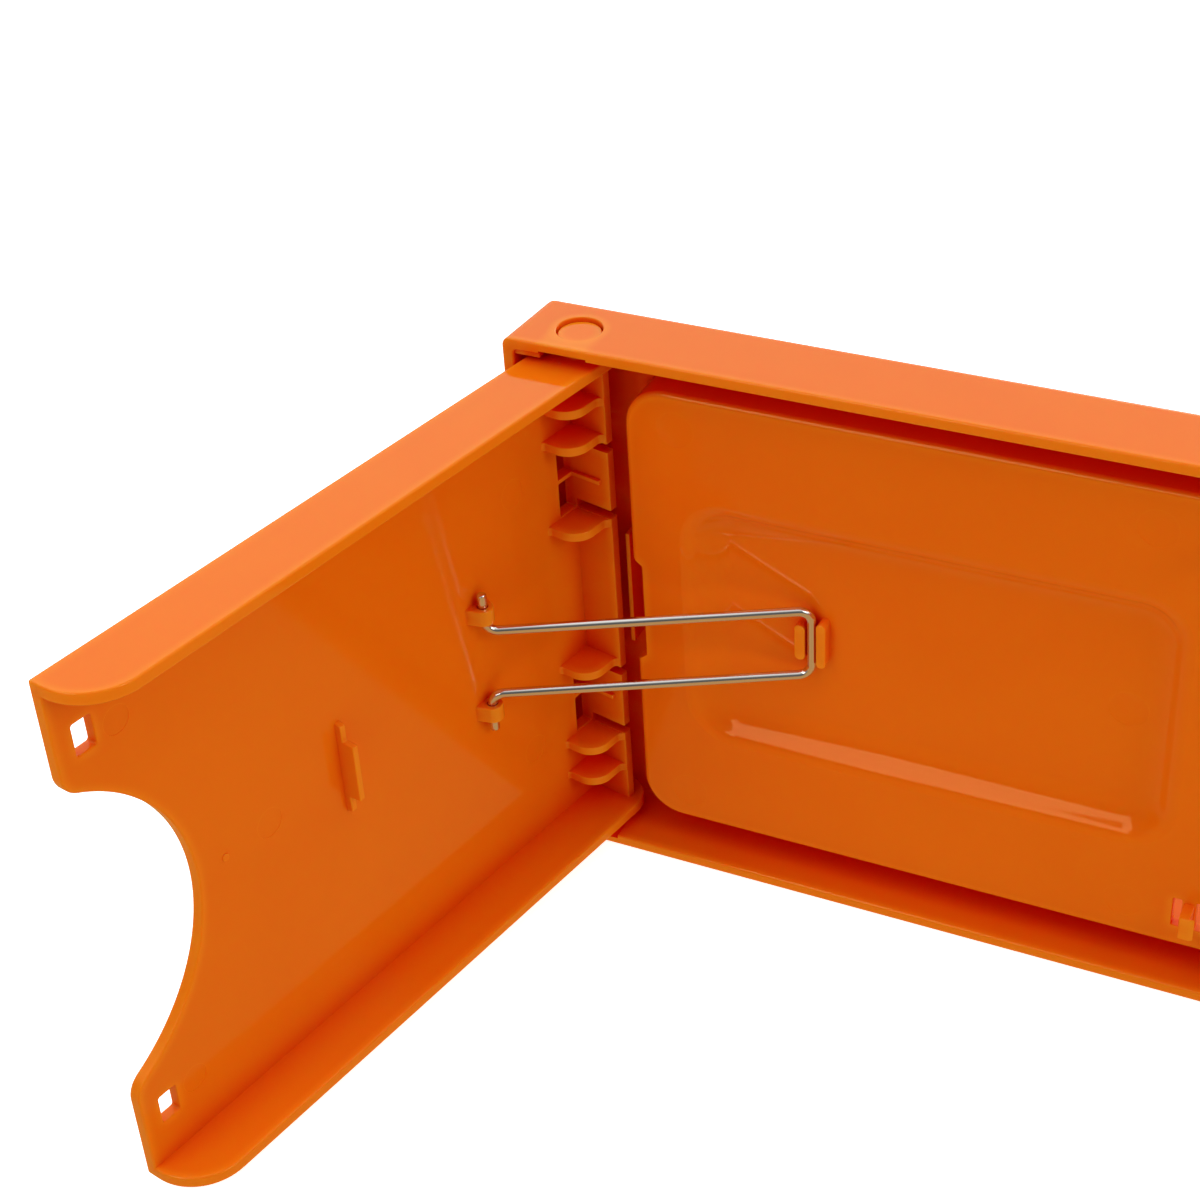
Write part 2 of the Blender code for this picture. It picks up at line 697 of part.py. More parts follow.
def build_stay(tag, finish):
    """A bent wire along +X from its pivot, swept as a round bar."""
    path = [Vector((a, b, 0.0)) for a, b in stay_path()]
    sides, rows = 12, []
    for i, point in enumerate(path):
        before, after = path[max(i - 1, 0)], path[min(i + 1, len(path) - 1)]
        ahead = (after - before).normalized()
        across = Vector((0, 0, 1)).cross(ahead)
        stretch = 1.0
        if 0 < i < len(path) - 1:
            stretch = 1 / max((path[i + 1] - point).normalized().dot(ahead), 0.5)
        ring = []
        for k in range(sides):
            turn = 2 * math.pi * k / sides
            ring.append(
                point
                + across * (WIRE_D / 2 * math.cos(turn) * stretch)
                + Vector((0, 0, WIRE_D / 2 * math.sin(turn)))
            )
        rows.append(ring)
    stay = loft(f"wire_stay_{tag}", rows)
    for face in stay.data.polygons:
        face.use_smooth = len(face.vertices) == 4
    stay.data.materials.append(finish)
    return stay


# ---- assembly -----------------------------------------------------------------------------------
def main():
    """Clears the scene and puts the parts in place, open and standing."""
    for old in list(bpy.data.objects):
        bpy.data.objects.remove(old, do_unlink=True)
    shell = material("polypropylene_top", (0.83, 0.10, 0.004))
    limb = material("polypropylene_leg", (0.85, 0.13, 0.006))
    steel = material("bright_steel_wire", (0.62, 0.62, 0.60), 1.0, 0.2)
    build_top(shell)
    for tag, side in (("left", -1), ("right", 1)):
        turn = 0.0 if side < 0 else math.pi
        leg = build_leg(tag, limb)
        leg.location = (side * HINGE_X, 0, HINGE_Z)
        leg.rotation_euler = (0, SPLAY, turn)
        stay = build_stay(tag, steel)
        x, depth = clip_place()
        stay.location = (side * (HALF_LENGTH - x), 0, top_z(depth))
        stay.rotation_euler = (0, -stay_rise(), turn)


main()
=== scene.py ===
"""Looks of the folding trestle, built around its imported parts.

The top panel and both legs are remade as fine mouldings, the stays as smooth bent wire, and a
plain studio is set round them. Lengths are metres, +Z is up and the trestle stands on its feet.
"""

import json
import logging
import math
from dataclasses import dataclass, field
from enum import Enum
from typing import Any, Callable, Iterable

import bmesh
import bpy
from mathutils import Matrix, Vector


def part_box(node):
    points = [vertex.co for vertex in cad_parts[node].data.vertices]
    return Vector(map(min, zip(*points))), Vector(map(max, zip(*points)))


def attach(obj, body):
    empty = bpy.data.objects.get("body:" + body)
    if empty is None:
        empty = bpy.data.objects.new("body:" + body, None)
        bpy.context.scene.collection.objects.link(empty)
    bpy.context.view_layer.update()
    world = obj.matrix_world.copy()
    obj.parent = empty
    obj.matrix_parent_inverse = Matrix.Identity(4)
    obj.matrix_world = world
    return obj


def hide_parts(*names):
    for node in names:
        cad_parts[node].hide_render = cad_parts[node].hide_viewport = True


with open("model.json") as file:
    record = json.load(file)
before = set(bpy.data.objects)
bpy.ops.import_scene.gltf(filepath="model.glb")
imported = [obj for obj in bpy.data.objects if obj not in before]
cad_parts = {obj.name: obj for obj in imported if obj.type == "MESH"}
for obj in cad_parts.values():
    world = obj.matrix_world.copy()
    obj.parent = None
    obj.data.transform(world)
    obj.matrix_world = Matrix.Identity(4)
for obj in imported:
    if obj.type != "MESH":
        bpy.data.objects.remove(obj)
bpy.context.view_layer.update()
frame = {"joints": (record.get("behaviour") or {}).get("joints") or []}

MM = 0.001
LOG = logging.getLogger("trestle")

Point2 = tuple[float, float]
Point3 = tuple[float, float, float]
Ring = list[Point3]
Place = Callable[[float, float, float], Point3]


class Side(Enum):
    """An end of the trestle; the value is the sign of its X."""

    LEFT = -1
    RIGHT = 1

    @property
    def tag(self) -> str:
        """The word that names this end's pieces."""
        return self.name.lower()


class Operation(Enum):
    """What a Boolean step does with the shapes it is given."""

    JOIN = "UNION"
    CUT = "DIFFERENCE"


HALVES = (-1, 1)  # front and back of the trestle, as the sign of Y


# ---- outlines and solids ------------------------------------------------------------------------
def arc(centre: Point2, radius: float, start: float, end: float, steps: int) -> list[Point2]:
    """Points along a circle, both ends included.

    Args:
        centre: Middle of the circle.
        radius: Its radius.
        start: First angle, in degrees.
        end: Last angle, in degrees.
        steps: Number of chords.

    Returns:
        steps + 1 points.
    """
    angles = [math.radians(start + (end - start) * i / steps) for i in range(steps + 1)]
    return [(centre[0] + radius * math.cos(t), centre[1] + radius * math.sin(t)) for t in angles]


def circle(centre: Point2, radius: float, sides: int = 48) -> list[Point2]:
    """A closed circle, with no point repeated."""
    return arc(centre, radius, 0, 360, sides)[:-1]


def rounded_ring(half_x: float, half_y: float, radius: float, z: float, mid: Point2 = (0, 0)) -> Ring:
    """A level ring round a rectangle with rounded corners.

    Args:
        half_x: Half its length.
        half_y: Half its width.
        radius: Corner radius.
        z: Height of the ring.
        mid: Middle of the rectangle.

    Returns:
        The ring's points, the same number for every size.
    """
    ring: Ring = []
    for sx, sy, start in ((1, 1, 0), (-1, 1, 90), (-1, -1, 180), (1, -1, 270)):
        centre = (mid[0] + sx * (half_x - radius), mid[1] + sy * (half_y - radius))
        ring += [(x, y, z) for x, y in arc(centre, radius, start, start + 90, 12)]
    return ring


def solid_from(name: str, shape: bmesh.types.BMesh) -> bpy.types.Object:
    """An object from a closed bmesh, welded and with its normals facing out.

    Args:
        name: Name of the object.
        shape: The bmesh, which is freed.

    Returns:
        The object, linked to the scene.
    """
    bmesh.ops.remove_doubles(shape, verts=shape.verts, dist=1e-7)
    bmesh.ops.recalc_face_normals(shape, faces=shape.faces)
    mesh = bpy.data.meshes.new(name)
    shape.to_mesh(mesh)
    shape.free()
    made = bpy.data.objects.new(name, mesh)
    bpy.context.scene.collection.objects.link(made)
    return made


def loft(name: str, rings: list[Ring]) -> bpy.types.Object:
    """A closed solid through rings of equally many points, capped at both ends.

    Args:
        name: Name of the object.
        rings: The sections, in order.

    Returns:
        The solid.
    """
    shape = bmesh.new()
    rows = [[shape.verts.new(point) for point in ring] for ring in rings]
    count = len(rows[0])
    for low, high in zip(rows, rows[1:]):
        for i in range(count):
            j = (i + 1) % count
            shape.faces.new((low[i], low[j], high[j], high[i]))
    shape.faces.new(rows[0])
    shape.faces.new(rows[-1])
    return solid_from(name, shape)


def prism(name: str, outline: list[Point2], place: Place, low: float, high: float) -> bpy.types.Object:
    """A solid between two copies of an outline.

    Args:
        name: Name of the object.
        outline: The section, as (a, b) pairs.
        place: Maps (a, b, height) to a point.
        low: Height of the first copy.
        high: Height of the second copy.

    Returns:
        The solid.
    """
    return loft(name, [[place(a, b, h) for a, b in outline] for h in (low, high)])


def block(name: str, low: Point3, high: Point3) -> bpy.types.Object:
    """A block between two corners."""
    (x0, y0, z0), (x1, y1, z1) = low, high
    return loft(name, [[(x0, y0, z), (x1, y0, z), (x1, y1, z), (x0, y1, z)] for z in (z0, z1)])


def soften(
    shape: bpy.types.Object, width: float, angle: float = 40, segments: int = 3
) -> bpy.types.Object:
    """Rounds a solid's own edges, as a mould's cutter leaves them.

    Args:
        shape: The solid.
        width: Width of the rounding.
        angle: Edges that turn by more than this, in degrees, are rounded.
        segments: Facets across the rounding.

    Returns:
        The same solid.
    """
    bevel = shape.modifiers.new("soft_edges", "BEVEL")
    bevel.width = width
    bevel.segments = segments
    bevel.limit_method = "ANGLE"
    bevel.angle_limit = math.radians(angle)
    return shape


def settle(obj: bpy.types.Object) -> bpy.types.Object:
    """Turns an object's modifiers into its mesh.

    Args:
        obj: The object, whose modifiers are then cleared.

    Returns:
        The same object.
    """
    bpy.context.view_layer.update()
    graph = bpy.context.evaluated_depsgraph_get()
    made = bpy.data.meshes.new_from_object(obj.evaluated_get(graph))
    obj.modifiers.clear()
    obj.data = made
    return obj


def combine(body: bpy.types.Object, operation: Operation, shapes: list[bpy.types.Object]) -> None:
    """Joins shapes to a body, or cuts them from it, and removes them.

    Args:
        body: The solid that changes.
        operation: Whether the shapes are joined or cut away.
        shapes: The shapes, which may overlap each other.
    """
    group = bpy.data.collections.new(f"{body.name}_{operation.name.lower()}")
    for shape in shapes:
        settle(shape)
        group.objects.link(shape)
    step = body.modifiers.new(operation.name.lower(), "BOOLEAN")
    step.operation = operation.value
    step.solver = "EXACT"
    step.operand_type = "COLLECTION"
    step.collection = group
    settle(body)
    for shape in shapes:
        bpy.data.objects.remove(shape, do_unlink=True)
    bpy.data.collections.remove(group)


def stand(obj: bpy.types.Object, place: Matrix) -> None:
    """Moves a mesh to its place in the world, and leaves its origin at the world's."""
    obj.data.transform(place)
    obj.data.update()


def finish_shading(obj: bpy.types.Object, sharp: float = 32) -> bpy.types.Object:
    """Smooth shading that keeps flats flat and hard edges hard.

    Args:
        obj: The mesh object.
        sharp: Edges that turn by more than this, in degrees, stay hard.

    Returns:
        The same object.
    """
    mesh = obj.data
    mesh.polygons.foreach_set("use_smooth", [True] * len(mesh.polygons))
    mesh.set_sharp_from_angle(angle=math.radians(sharp))
    weighted = obj.modifiers.new("flat_faces", "WEIGHTED_NORMAL")
    weighted.keep_sharp = True
    weighted.weight = 50
    return obj


# ---- materials ----------------------------------------------------------------------------------
def linear(code: str) -> tuple[float, float, float, float]:
    """The linear RGBA of an sRGB colour.

    Args:
        code: Six hex digits, such as "E0640A".

    Returns:
        Red, green, blue and an alpha of 1.
    """
    parts = [int(code[i : i + 2], 16) / 255 for i in (0, 2, 4)]
    red, green, blue = (c / 12.92 if c <= 0.04045 else ((c + 0.055) / 1.055) ** 2.4 for c in parts)
    return red, green, blue, 1.0


def per_metre(size: float) -> float:
    """Scale of a procedural texture whose features are this many metres across."""
    return 1.0 / size


def add_node(
    tree: bpy.types.NodeTree, kind: str, links: dict[Any, Any] | None = None, **settings: Any
) -> Any:
    """Adds a node with its settings and what goes into its sockets.

    Args:
        tree: The node tree.
        kind: The node's type.
        links: Socket name or number to a value, or to the socket that feeds it.
        **settings: The node's own properties.

    Returns:
        The node.
    """
    node = tree.nodes.new(kind)
    for name, value in settings.items():
        setattr(node, name, value)
    for socket, source in (links or {}).items():
        if isinstance(source, bpy.types.NodeSocket):
            tree.links.new(source, node.inputs[socket])
        else:
            node.inputs[socket].default_value = source
    return node


def new_material(name: str) -> tuple[bpy.types.Material, bpy.types.NodeTree, Any]:
    """A material to build a finish in.

    Args:
        name: Name of the material.

    Returns:
        The material, its node tree and its Principled shader.
    """
    made = bpy.data.materials.new(name)
    made.use_nodes = True
    tree = made.node_tree
    return made, tree, tree.nodes["Principled BSDF"]


@dataclass(frozen=True)
class MouldedPolypropylene:
    """Injection-moulded polypropylene: glossy and a little waxy, and it glows where it is thin.

    Its subsurface scattering lets some light through for real. On top of that, the base colour holds painted
    light: a painted glow makes thin rims yellower, as if light came through them, and painted shade makes
    deep corners and hollows redder. The flow of the melt shades it faintly, sinks over the ribs bend its
    reflections, and the mould's polish leaves a fine grain, drawn coarser than the real one so that it
    shows.
    """

    name: str
    main: str = "F2760A"
    flow: str = "EE6C07"
    # The deep colour is painted shade, mixed into corners and hollows where the occlusion probe finds them
    # closed in.
    deep: str = "F20800"
    # The next colour is a painted glow, mixed in at thin rims as if light came through them.
    painted_rim_glow: str = "FF9A1C"
    sheen_tint: str = "FFD892"
    # Cloudy shading where the melt fronts met, and sinks over ribs and thick roots.
    flow_size: float = 70 * MM
    sink_size: float = 38 * MM
    sink_height: float = 0.05 * MM
    grain_size: float = 1.6 * MM
    grain_height: float = 0.002 * MM
    # Handling scuffs dull the gloss in long thin streaks; only the noise's peaks show.
    scuff_length: float = 28 * MM
    scuff_width: float = 0.9 * MM
    scuff_range: Point2 = (0.62, 0.85)
    scuff_turn: Point3 = (0.3, 0.5, 0.6)
    # How far the painted shade in corners and the painted glow at thin rims reach, over what openness, and
    # how strong.
    deep_reach: float = 26 * MM
    deep_range: Point2 = (0.14, 0.74)
    painted_shade_share: float = 0.95
    painted_rim_glow_reach: float = 3.5 * MM
    painted_rim_glow_range: Point2 = (0.45, 0.95)
    painted_rim_glow_share: float = 0.6
    ior: float = 1.49
    roughness: float = 0.07
    scuff_roughness: float = 0.05
    glow: float = 0.5
    glow_depth: float = 3 * MM
    glow_spread: Point3 = (1.0, 0.28, 0.05)

    def material(self) -> bpy.types.Material:
        """Builds the finish.

        Returns:
            A node material.
        """
        made, tree, shader = new_material(self.name)
        place = add_node(tree, "ShaderNodeTexCoord").outputs["Object"]
        flow = add_node(
            tree,
            "ShaderNodeTexNoise",
            {"Vector": place, "Scale": per_metre(self.flow_size), "Detail": 2.0, "Distortion": 0.8},
        )
        body = add_node(
            tree,
            "ShaderNodeMix",
            {0: flow.outputs["Fac"], 6: linear(self.main), 7: linear(self.flow)},
            data_type="RGBA",
        )
        # Painted shade: an occlusion probe finds corners and hollows, and the deep colour is mixed into the
        # base colour there.
        hollow = add_node(tree, "ShaderNodeAmbientOcclusion", {"Distance": self.deep_reach}, samples=8)
        depth = add_node(
            tree,
            "ShaderNodeMapRange",
            {
                "Value": hollow.outputs["AO"],
                "From Min": self.deep_range[0],
                "From Max": self.deep_range[1],
                "To Min": self.painted_shade_share,
                "To Max": 0.0,
            },
        )
        # Painted glow: a probe inside the solid finds thin rims, and the yellower glow colour is mixed into
        # the base colour there.
        within = add_node(
            tree,
            "ShaderNodeAmbientOcclusion",
            {"Distance": self.painted_rim_glow_reach},
            samples=8,
            inside=True,
        )
        rim = add_node(
            tree,
            "ShaderNodeMapRange",
            {
                "Value": within.outputs["AO"],
                "From Min": self.painted_rim_glow_range[0],
                "From Max": self.painted_rim_glow_range[1],
                "To Min": self.painted_rim_glow_share,
                "To Max": 0.0,
            },
        )
        lit = add_node(
            tree,
            "ShaderNodeMix",
            {0: rim.outputs[0], 6: body.outputs[2], 7: linear(self.painted_rim_glow)},
            data_type="RGBA",
        )
        # This mix paints the shade into the corners, on top of the painted glow at the rims.
        painted_glow_and_shade = add_node(
            tree,
            "ShaderNodeMix",
            {0: depth.outputs[0], 6: lit.outputs[2], 7: linear(self.deep)},
            data_type="RGBA",
        )
        tree.links.new(painted_glow_and_shade.outputs[2], shader.inputs["Base Color"])
        stretch = add_node(
            tree,
            "ShaderNodeMapping",
            {
                "Vector": place,
                "Rotation": self.scuff_turn,
                "Scale": (
                    per_metre(self.scuff_length),
                    per_metre(self.scuff_width),
                    per_metre(self.scuff_width),
                ),
            },
        )
        scuffs = add_node(
            tree,
            "ShaderNodeTexNoise",
            {"Vector": stretch.outputs[0], "Scale": 1.0, "Detail": 3.0},
        )
        worn = add_node(
            tree,
            "ShaderNodeMapRange",
            {
                "Value": scuffs.outputs["Fac"],
                "From Min": self.scuff_range[0],
                "From Max": self.scuff_range[1],
                "To Min": self.roughness,
                "To Max": self.roughness + self.scuff_roughness,
            },
        )
        tree.links.new(worn.outputs[0], shader.inputs["Roughness"])
        sink = add_node(
            tree,
            "ShaderNodeTexNoise",
            {"Vector": place, "Scale": per_metre(self.sink_size), "Detail": 1.0},
        )
        grain = add_node(
            tree,
            "ShaderNodeTexNoise",
            {"Vector": place, "Scale": per_metre(self.grain_size), "Detail": 2.0},
        )
        waves = add_node(
            tree,
            "ShaderNodeBump",
            {"Height": sink.outputs["Fac"], "Strength": 1.0, "Distance": self.sink_height},
        )
        skin = add_node(
            tree,
            "ShaderNodeBump",
            {
                "Height": grain.outputs["Fac"],
                "Strength": 1.0,
                "Distance": self.grain_height,
                "Normal": waves.outputs["Normal"],
            },
        )
        tree.links.new(skin.outputs["Normal"], shader.inputs["Normal"])
        shader.inputs["IOR"].default_value = self.ior
        shader.inputs["Specular Tint"].default_value = linear(self.sheen_tint)
        shader.inputs["Subsurface Weight"].default_value = self.glow
        shader.inputs["Subsurface Radius"].default_value = self.glow_spread
        shader.inputs["Subsurface Scale"].default_value = self.glow_depth
        return made


@dataclass(frozen=True)
class DrawnSteelWire:
    """Bright drawn steel: the die leaves a polish, with faint lines along the wire's length.

    The eye sees sharp light and dark streaks that run along the wire, a little broken by the lines.
    """

    name: str
    bright: str = "EFEDE8"
    dull: str = "D2CFC9"
    line_length: float = 40 * MM
    line_width: float = 0.35 * MM
    line_height: float = 0.004 * MM
    line_range: Point2 = (0.3, 0.7)
    line_roughness: float = 0.1
    roughness: float = 0.12

    def material(self) -> bpy.types.Material:
        """Builds the finish on a UV map that runs along the wire and round it, in metres.

        Returns:
            A node material.
        """
        made, tree, shader = new_material(self.name)
        along = add_node(tree, "ShaderNodeTexCoord").outputs["UV"]
        stretch = add_node(
            tree,
            "ShaderNodeMapping",
            {"Vector": along, "Scale": (per_metre(self.line_length), per_metre(self.line_width), 1.0)},
        )
        lines = add_node(
            tree,
            "ShaderNodeTexNoise",
            {"Vector": stretch.outputs[0], "Scale": 1.0, "Detail": 3.0},
        )
        tone = add_node(
            tree,
            "ShaderNodeMix",
            {0: lines.outputs["Fac"], 6: linear(self.bright), 7: linear(self.dull)},
            data_type="RGBA",
        )
        tree.links.new(tone.outputs[2], shader.inputs["Base Color"])
        polish = add_node(
            tree,
            "ShaderNodeMapRange",
            {
                "Value": lines.outputs["Fac"],
                "From Min": self.line_range[0],
                "From Max": self.line_range[1],
                "To Min": self.roughness,
                "To Max": self.roughness + self.line_roughness,
            },
        )
        tree.links.new(polish.outputs[0], shader.inputs["Roughness"])
        ridges = add_node(
            tree,
            "ShaderNodeBump",
            {"Height": lines.outputs["Fac"], "Strength": 1.0, "Distance": self.line_height},
        )
        tree.links.new(ridges.outputs["Normal"], shader.inputs["Normal"])
        shader.inputs["Metallic"].default_value = 1.0
        return made


@dataclass(frozen=True)
class OneSidedPaper:
    """Matt white paper, lit from behind, so that it reads as an even white with soft shadows.

    It is only there from its front, like a studio sweep seen from the set.
    """

    name: str
    colour: str = "F4F4F4"
    mottle_size: float = 180 * MM
    backlight: float = 0.8
    roughness: float = 0.9

    def material(self) -> bpy.types.Material:
        """Builds the finish.

        Returns:
            A node material.
        """
        made, tree, shader = new_material(self.name)
        place = add_node(tree, "ShaderNodeTexCoord").outputs["Object"]
        mottle = add_node(
            tree,
            "ShaderNodeTexNoise",
            {"Vector": place, "Scale": per_metre(self.mottle_size)},
        )
        tone = add_node(
            tree,
            "ShaderNodeMix",
            {0: mottle.outputs["Fac"], 6: linear(self.colour), 7: linear("FFFFFF")},
            data_type="RGBA",
        )
        tree.links.new(tone.outputs[2], shader.inputs["Base Color"])
        shader.inputs["Roughness"].default_value = self.roughness
        shader.inputs["Emission Color"].default_value = linear("FFFFFF")
        shader.inputs["Emission Strength"].default_value = self.backlight
        back = add_node(tree, "ShaderNodeNewGeometry").outputs["Backfacing"]
        clear = add_node(tree, "ShaderNodeBsdfTransparent")
        both = add_node(
            tree,
            "ShaderNodeMixShader",
            {0: back, 1: shader.outputs[0], 2: clear.outputs[0]},
        )
        tree.links.new(both.outputs[0], tree.nodes["Material Output"].inputs["Surface"])
        return made


# ---- the frame's own places ---------------------------------------------------------------------
@dataclass(frozen=True)
class Places:
    """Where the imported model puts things."""

    half_length: float
    half_width: float
    top: float
    rim: float
    hinge: Vector
    splay: float
    pivot: Vector
    bar: Vector

    @classmethod
    def from_frame(cls) -> "Places":
        """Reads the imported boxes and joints.

        Returns:
            The places, with the hinge, pivot and bar of the left end.
        """
        low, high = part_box("top_panel")
        joints = {joint["name"]: joint for joint in frame["joints"]}
        fold, swing = joints["left_leg_fold"], joints["left_stay_swing"]
        _, stay_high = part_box("wire_stay_left")
        radius = WireStay.wire / 2
        return cls(
            half_length=(high.x - low.x) / 2 - TopPanel.end_flare,
            half_width=(high.y - low.y) / 2,
            top=high.z,
            rim=low.z,
            hinge=Vector(fold["pos_m"]),
            splay=math.radians(fold["range_deg"][1] - 90),
            pivot=Vector(swing["pos_m"]),
            bar=Vector((stay_high.x - radius, 0, stay_high.z - radius)),
        )


# ---- wire stay ----------------------------------------------------------------------------------
@dataclass
class WireStay:
    """A bent wire: two arms and a cross bar, with feet that turn in the leg's lugs."""

    side: Side
    places: Places
    finish: bpy.types.Material
    half_width: float = 12.7 * MM
    foot: float = 27.3 * MM
    bend: float = 4.4 * MM
    end_round: float = 0.7 * MM
    wire: float = 3.2 * MM
    around: int = 32

    def path(self, length: float) -> list[Vector]:
        """The centreline from one foot to the other.

        Args:
            length: Pivot to cross bar.

        Returns:
            Points with the pivot on the Y axis and the arms along +X.
        """
        half, bend = self.half_width, self.bend
        points: list[Point2] = [(0.0, self.foot), (0.0, self.foot - 2 * self.end_round)]
        points += arc((bend, half + bend), bend, 180, 270, 14)
        points += arc((length - bend, half - bend), bend, 90, 0, 14)
        points += [(a, -b) for a, b in reversed(points)]
        return [Vector((a, b, 0)) for a, b in points]

    def sweep(self, path: list[Vector]) -> bpy.types.Object:
        """Bends a round bar along a path, its cut ends rounded over, with a UV map in metres.

        Args:
            path: The centreline.

        Returns:
            The wire.
        """
        up, radius = Vector((0, 0, 1)), self.wire / 2
        shape = bmesh.new()
        uv = shape.loops.layers.uv.new("drawn")
        rows, reach = [], []
        travelled = 0.0
        ends = [
            (self.end_round * (1 - math.cos(t)), radius - self.end_round * (1 - math.sin(t)))
            for t in (math.radians(a) for a in (0, 22.5, 45, 67.5))
        ]
        for i, point in enumerate(path):
            ahead = (path[min(i + 1, len(path) - 1)] - path[max(i - 1, 0)]).normalized()
            if i:
                travelled += (point - path[i - 1]).length
            sections = [(0.0, radius)]
            if i == 0:
                sections = [(inset, size) for inset, size in ends]
            elif i == len(path) - 1:
                sections = [(-inset, size) for inset, size in reversed(ends)]
            across = up.cross(ahead)
            stretch = 1.0
            if 0 < i < len(path) - 1:
                stretch = 1 / max((path[i + 1] - point).normalized().dot(ahead), 0.5)
            for inset, size in sections:
                ring = []
                for k in range(self.around):
                    turn = 2 * math.pi * k / self.around
                    offset = across * (size * math.cos(turn) * stretch) + up * (size * math.sin(turn))
                    ring.append(shape.verts.new(point + ahead * inset + offset))
                rows.append(ring)
                reach.append(travelled + inset)
        girth = math.pi * self.wire
        for r, (low, high) in enumerate(zip(rows, rows[1:])):
            for k in range(self.around):
                j = (k + 1) % self.around
                face = shape.faces.new((low[k], low[j], high[j], high[k]))
                corners = ((r, k), (r, k + 1), (r + 1, k + 1), (r + 1, k))
                for loop, (along, step) in zip(face.loops, corners):
                    loop[uv].uv = (reach[along], girth * step / self.around)
        shape.faces.new(rows[0])
        shape.faces.new(rows[-1])
        return solid_from(f"bent_wire_stay_{self.side.tag}", shape)

    def build(self) -> bpy.types.Object:
        """Builds the stay in its place, clipped to the top panel.

        Returns:
            The stay as one mesh.
        """
        pivot, bar = self.places.pivot, self.places.bar
        run, rise = bar.x - pivot.x, bar.z - pivot.z
        stay = self.sweep(self.path(math.hypot(run, rise)))
        finish_shading(stay, 50)
        stay.data.materials.append(self.finish)
        turn = 0.0 if self.side is Side.LEFT else math.pi
        lean = Matrix.Rotation(-math.atan2(rise, run), 4, "Y")
        stand(stay, Matrix.Rotation(turn, 4, "Z") @ Matrix.Translation(pivot) @ lean)
        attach(stay, f"{self.side.tag}_stay")
        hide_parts(f"wire_stay_{self.side.tag}")
        return stay


